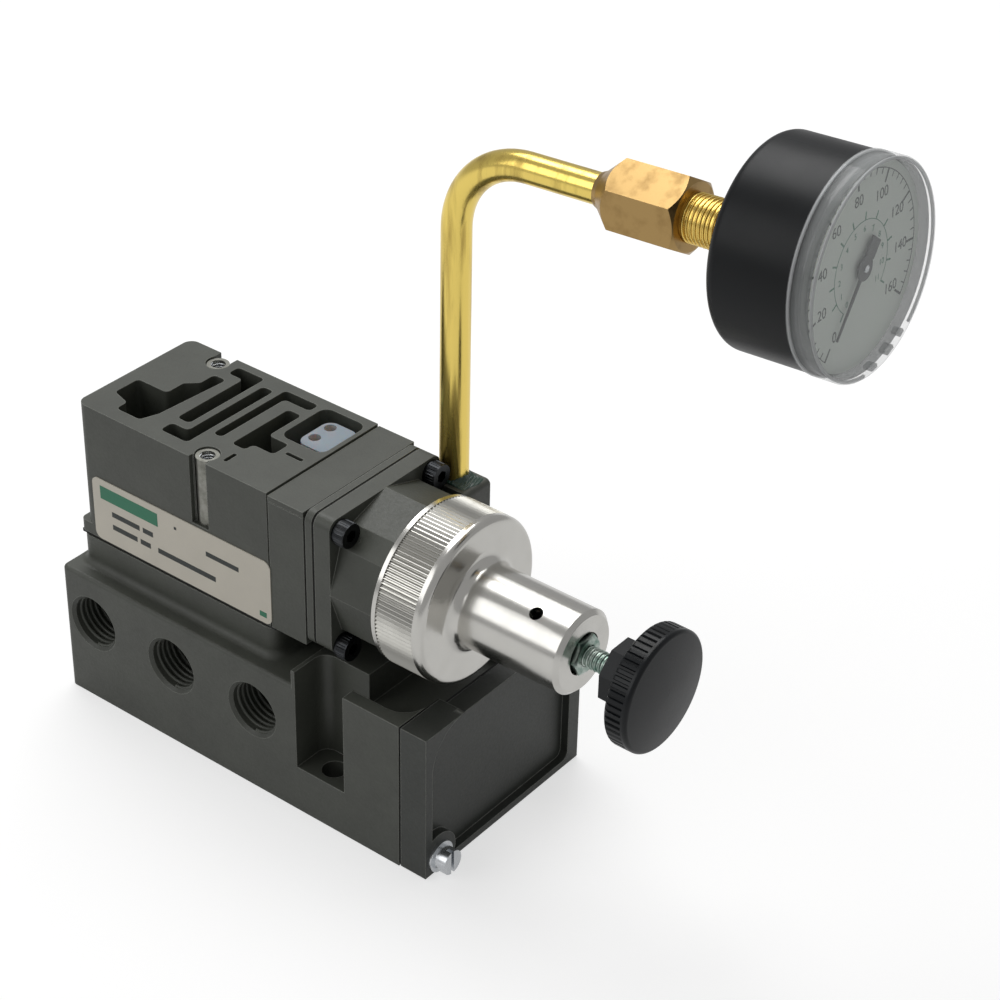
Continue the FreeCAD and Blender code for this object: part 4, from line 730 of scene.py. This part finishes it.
one_piece("dial_scale", [
    tick_ring(dark_ticks, 9, 17.0, 2.6, 0.45),
    tick_ring(dark_ticks, 41, 17.7, 1.2, 0.22),
    tick_ring(dark_ticks, 271, 18.35, 0.16, 0.34),
], "body", smooth=False)
one_piece("dial_inner_scale", [
    tick_ring(green_ticks, 12, 9.8, 1.6, 0.35),
    tick_ring(green_ticks, 111, 9.0, 0.14, 0.42),
], "body", smooth=False)

# %% [markdown]
# ## Numbers on the dial
#
# The outer scale is numbered in twenties and the inner one in ones. Each number is a text
# object with a hair of thickness, turned into a mesh before it is laid on the tilted dial. It
# stays upright, as on a printed dial, and only its place goes round.


# %% Dial numbers
def number_mesh(text, height, angle, radius, material):
    curve = bpy.data.curves.new("number", "FONT")
    curve.body = text
    curve.align_x = "CENTER"
    curve.align_y = "CENTER"
    curve.size = height * MM
    curve.extrude = 0.02 * MM
    curve.materials.append(material)
    carrier = bpy.data.objects.new("number", curve)
    bpy.context.collection.objects.link(carrier)
    bpy.context.view_layer.update()
    ready = carrier.evaluated_get(bpy.context.evaluated_depsgraph_get())
    mesh = bpy.data.meshes.new_from_object(ready)
    bpy.data.objects.remove(carrier)
    face_out = Matrix(((0, 0, 1, 0), (1, 0, 0, 0), (0, 1, 0, 0), (0, 0, 0, 1)))
    spot = shift(dial_front + number_lift, radius * math.cos(angle), radius * math.sin(angle))
    mesh.transform(gauge_axis @ spot @ face_out)
    return mesh


def number_ring(values, height, radius, material):
    meshes = []
    for step, value in enumerate(values):
        angle = math.radians(scale_start + scale_sweep * step / (len(values) - 1))
        meshes.append(number_mesh(str(value), height, angle, radius, material))
    return meshes


outer_numbers = number_ring(range(0, 161, 20), 3.0, 13.6, dark_ink)
inner_numbers = number_ring(range(0, 12, 1), 1.7, 7.3, green_ink)
one_piece("dial_numbers", outer_numbers, "body", smooth=False)
one_piece("dial_inner_numbers", inner_numbers, "body", smooth=False)

# %% [markdown]
# ## The rim of the lens
#
# A clear moulding shows most at its rim, by the light it catches there, and here that light is
# painted. The side wall looks milky from its reflections, and this is painted as a grey half-clear
# band. The rounded front edge carries a bright line, painted as a pale band that breaks off where
# the snap tabs are, low on the right. Bands swept round the gauge axis add this: a wall inside the
# lens, thin lines round its front edge and its foot, and three short tabs that carry the same
# painted highlight. One function sweeps them all, over a whole turn or a part of it.

# %% Lens rim
# Pale half-clear colours: the rim's lines and tabs are painted highlights, and the grey wall paints
# the reflections in the lens's side wall.
rim_highlight_paint = moulded("rim_highlight_paint", (0.62, 0.63, 0.64), 0.16, 1500.0, 0.0, Alpha=0.62)
wall_reflection_paint = moulded("wall_reflection_paint", (0.24, 0.25, 0.25), 0.2, 1500.0, 0.0, Alpha=0.55)


def arc_band(name, profile, first, last, steps, material):
    """Sweep a profile of (along, radius) points round the gauge axis between two angles."""
    joined = bmesh.new()
    whole = abs(last - first) > 359.9
    count = steps if whole else steps + 1
    rows = []
    for step in range(count):
        angle = math.radians(first + (last - first) * step / steps)
        spots = [Vector((along, radius * math.cos(angle), radius * math.sin(angle))) * MM
                 for along, radius in profile]
        rows.append([joined.verts.new(spot) for spot in spots])
    pairs = list(zip(rows, rows[1:])) + ([(rows[-1], rows[0])] if whole else [])
    size = len(profile)
    for before, after in pairs:
        for corner in range(size):
            other = (corner + 1) % size
            joined.faces.new((before[corner], before[other], after[other], after[corner]))
    if not whole:
        joined.faces.new(rows[0])
        joined.faces.new(rows[-1][::-1])
    bmesh.ops.recalc_face_normals(joined, faces=joined.faces)
    mesh = bpy.data.meshes.new(name)
    joined.to_mesh(mesh)
    joined.free()
    mesh.materials.append(material)
    mesh.transform(gauge_axis)
    return mesh


wall_profile = [(91.6, 20.3), (95.4, 20.3), (95.4, 20.7), (91.6, 20.7)]
line_profile = [(96.0, 20.45), (96.45, 20.45), (96.45, 21.0), (96.0, 21.0)]
foot_profile = [(91.4, 20.9), (91.9, 20.9), (91.9, 21.22), (91.4, 21.22)]
tab_profile = [(94.3, 20.3), (96.2, 20.3), (96.2, 21.1), (94.3, 21.1)]
wall = arc_band("wall", wall_profile, 0, 360, 96, wall_reflection_paint)
one_piece("lens_wall", [wall], "body")
one_piece("lens_rim", [
    arc_band("front_line", line_profile, -50, 265, 120, rim_highlight_paint),
    arc_band("foot_line", foot_profile, 0, 360, 120, rim_highlight_paint),
    arc_band("tab_one", tab_profile, -59, -55, 4, rim_highlight_paint),
    arc_band("tab_two", tab_profile, -72, -66, 6, rim_highlight_paint),
    arc_band("tab_three", tab_profile, -87, -82, 5, rim_highlight_paint),
], "body")

# %% [markdown]
# ## Printing on the label
#
# The label carries a coloured band and a few lines of small print. Here they stay plain bars,
# a film's thickness proud of the label, so that the place is filled without any words.

# %% Label bars
label_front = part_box("label")[0][1] / MM
ink_film = 0.04


def printed_bars(name, bars, material):
    """Thin bars on the front of the label; each is (left, low, right, high) in mm."""
    joined = bmesh.new()
    for left, low, right, high in bars:
        edges = Matrix.Diagonal(((right - left) * MM, ink_film * MM, (high - low) * MM, 1.0))
        spot = shift((left + right) / 2, label_front - ink_film / 2, (low + high) / 2)
        bmesh.ops.create_cube(joined, size=1.0, matrix=spot @ edges)
    mesh = bpy.data.meshes.new(name)
    joined.to_mesh(mesh)
    joined.free()
    mesh.materials.append(material)
    return one_piece(name, [mesh], "body", smooth=False)


printed_bars("label_band", [(-40.2, 53.6, -22.6, 57.0), (7.2, 43.9, 9.2, 45.2)], green_ink)
printed_bars("label_lines", [
    (-36.9, 50.0, -28.4, 51.3), (-27.4, 50.0, -24.3, 51.3),
    (-36.9, 46.6, -29.3, 47.9), (-28.3, 46.6, -25.2, 47.9), (-22.9, 46.6, -5.6, 47.9),
    (-8.2, 52.4, 1.4, 53.6), (-17.6, 55.2, -16.9, 55.9),
], dark_ink)

# %% [markdown]
# ## Sealant round the foot of the tube
#
# Where the tube enters the ear someone has run a bead of dark green thread sealant, and it has
# crept over most of the ear's top. One skin makes both. It starts high against the tube, falls
# away to a thin film and ends at an outline that wanders with the angle but stays on the ear.
# The flange behind the tube stands higher than the ear, so the film stops short of it.

# %% Sealant skin
sealant = moulded("thread_sealant", screen_colour(26, 58, 46), 0.42, 2600.0, 0.6, Coat_Weight=0.3)
ear_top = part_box("tube_sealant")[0][2] / MM
tube_radius = 3.25
tube_gap, ear_gap = 0.02, 0.01
least_film = 0.12
foot_x, foot_y = gauge_foot.x, gauge_foot.y
film_left, film_right = 24.4, 34.9
film_front, film_rear = 12.8, 19.9
flange_front, flange_rear = 27.6, 13.35
bead_height, bead_fall = 1.0, 2.2
film_height = 0.24


def wander(angle, seed):
    """A smooth value between -1 and 1 that goes up and down round the tube."""
    slow = math.sin(3 * angle + seed) * 0.5
    middle = math.sin(5 * angle + 1.7 * seed) * 0.3
    fast = math.sin(8 * angle + seed) * 0.2
    return slow + middle + fast


def film_reach(angle):
    """Distance from the tube's centre to the film's outline in this direction."""
    across_x, across_y = math.cos(angle), math.sin(angle)
    room_x = film_right - foot_x if across_x > 0 else foot_x - film_left
    room_y = film_rear - foot_y if across_y > 0 else foot_y - film_front
    reach = min(room_x / max(abs(across_x), 1e-6), room_y / max(abs(across_y), 1e-6))
    return max(tube_radius + least_film, reach * (0.93 + 0.07 * wander(angle, 0.6)))


def skin_point(angle, part):
    """A point of the skin; part runs from 0 at the tube to 1 at the outline."""
    inner = tube_radius + tube_gap
    radius = inner + (film_reach(angle) - inner) * part
    x = foot_x + radius * math.cos(angle)
    y = foot_y + radius * math.sin(angle)
    if x < flange_front:
        y = max(y, flange_rear)
    bead = (bead_height + 0.5 * wander(angle, 2.1)) * math.exp(-(radius - inner) * bead_fall)
    lumps = 0.1 * math.sin(9.0 * x + 2.0 * y) + 0.08 * math.sin(7.0 * y - 5.0 * x)
    film = (film_height + lumps) * (1 - part ** 6)
    return Vector((x, y, ear_top + ear_gap + bead + film)) * MM


def skin_mesh():
    joined = bmesh.new()
    turns, rings = 96, 22
    grid = []
    for level in range(rings):
        part = level / (rings - 1)
        around = [skin_point(2 * math.pi * step / turns, part) for step in range(turns)]
        grid.append([joined.verts.new(spot) for spot in around])
    for inner, outer in zip(grid, grid[1:]):
        for step in range(turns):
            after = (step + 1) % turns
            joined.faces.new((inner[step], outer[step], outer[after], inner[after]))
    mesh = bpy.data.meshes.new("skin")
    joined.to_mesh(mesh)
    joined.free()
    mesh.materials.append(sealant)
    return mesh


bead = one_piece("sealant_bead", [skin_mesh()], "body")
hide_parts("tube_sealant")

# %% [markdown]
# ## Floor
#
# The photograph is a studio shot on white. A plain floor carries the object's shadow. Its paint
# is a mid grey, so that little light is thrown back up at the object. To look white all the
# same, it glows where the camera sees it, straight on, through the lens or in a reflection.

# %% Floor
half = 3.0
white_to_camera = 0.62
white_in_mirrors = 0.4
floor_mesh = bpy.data.meshes.new("floor")
floor_mesh.from_pydata(
    [(-half, -half, 0), (half, -half, 0), (half, half, 0), (-half, half, 0)], [], [(0, 1, 2, 3)])
floor = bpy.data.objects.new("floor", floor_mesh)
bpy.context.collection.objects.link(floor)
floor_paint, floor_nodes, floor_shader = new_finish("floor_white", (0.5, 0.5, 0.5), 0.9)
floor_shader.inputs["Specular IOR Level"].default_value = 0.1
seen = floor_nodes.add("ShaderNodeLightPath", output="Is Camera Ray")
through = floor_nodes.add("ShaderNodeLightPath", output="Is Transmission Ray")
mirrored = floor_nodes.add("ShaderNodeLightPath", output="Is Glossy Ray")
shine = (seen + through) * white_to_camera + mirrored * white_in_mirrors
floor_shader.inputs["Emission Strength"].default_value = 1.0
floor_nodes.feed(floor_shader.inputs["Emission Color"], floor_nodes.add(
    "ShaderNodeCombineXYZ", inputs={"X": shine, "Y": shine, "Z": shine}))
floor_mesh.materials.append(floor_paint)
print("floor", 2 * half, "m wide")

# %% [markdown]
# ## World and lamps
#
# Polished metal shows its surroundings more than its own colour, so what it mirrors matters as
# much as the lamps. One lamp stands above and behind on the left, small enough to leave a
# narrow streak on the cap, and a weaker one lights the front. The world is white to the camera,
# dimmer as a light, and less than half as bright in reflections, which gives the metal its grey
# between the streaks.

# %% World and lamps
world_light = 0.28
mirror_share = 0.2
world = bpy.data.worlds.new("studio")
bpy.context.scene.world = world
world.use_nodes = True
world_nodes = Nodes(world.node_tree)
background = world.node_tree.nodes["Background"]
background.inputs["Color"].default_value = (1.0, 1.0, 1.0, 1.0)
camera_ray = world_nodes.add("ShaderNodeLightPath", output="Is Camera Ray")
glossy_ray = world_nodes.add("ShaderNodeLightPath", output="Is Glossy Ray")
through_ray = world_nodes.add("ShaderNodeLightPath", output="Is Transmission Ray")
shown = world_nodes.math("MINIMUM", camera_ray + through_ray + glossy_ray * mirror_share, 1.0)
world_nodes.feed(background.inputs["Strength"], shown * (1.0 - world_light) + world_light)


def soft_lamp(name, spot, aim, width, power):
    """A square lamp at a spot, turned to shine at its aim; metres and watts."""
    lamp = bpy.data.lights.new(name, "AREA")
    lamp.shape = "SQUARE"
    lamp.size = width
    lamp.energy = power
    holder = bpy.data.objects.new(name, lamp)
    direction = Vector(aim) - Vector(spot)
    turn = direction.to_track_quat("-Z", "Y").to_matrix().to_4x4()
    holder.matrix_world = Matrix.Translation(Vector(spot)) @ turn
    bpy.context.collection.objects.link(holder)
    print("lamp", name, round(direction.length, 2), "m away")


soft_lamp("overhead", (-0.35, 0.3, 1.05), (0.02, 0.0, 0.05), 0.75, 7.2)
soft_lamp("front_left", (-0.55, -0.95, 0.7), (0.0, 0.0, 0.06), 0.8, 3.0)

# %% [markdown]
# ## Camera
#
# The picture was taken from above, in front and to the right, about 0.6 m away. The camera's
# place and angles and its focal length in pixels were worked out from edges and centres whose
# places on the object are known. The picture is a cut-out, so the line of sight doesn't meet
# its middle: the camera's shift moves it there, and the focal length in pixels becomes one in
# millimetres by the width of the sensor.

# %% Camera
picture_width = 1000
focal_pixels = 2559.21
sight_across, sight_down = 580.52, 470.65
camera_spot = Vector((318.92, -340.92, 372.72)) * MM
azimuth, elevation, roll = (math.radians(value) for value in (35.69, 33.21, 2.44))
camera = bpy.data.cameras.new("photo_camera")
camera.sensor_width = 36.0
camera.sensor_fit = "HORIZONTAL"
camera.lens = focal_pixels * camera.sensor_width / picture_width
camera.shift_x = (picture_width / 2 - sight_across) / picture_width
camera.shift_y = (sight_down - picture_width / 2) / picture_width
camera.clip_start = 0.01
level = math.cos(elevation)
back = Vector((math.sin(azimuth) * level, -math.cos(azimuth) * level, math.sin(elevation)))
level_right = (-back).cross(Vector((0, 0, 1))).normalized()
level_up = level_right.cross(-back)
right = level_right * math.cos(roll) + level_up * math.sin(roll)
up = -level_right * math.sin(roll) + level_up * math.cos(roll)
camera_object = bpy.data.objects.new("photo_camera", camera)
place = Matrix((right, up, back)).transposed().to_4x4()
place.translation = camera_spot
camera_object.matrix_world = place
bpy.context.collection.objects.link(camera_object)
bpy.context.scene.camera = camera_object
bpy.context.scene.view_settings.view_transform = "Standard"
print("camera at", [round(value, 3) for value in place.translation])
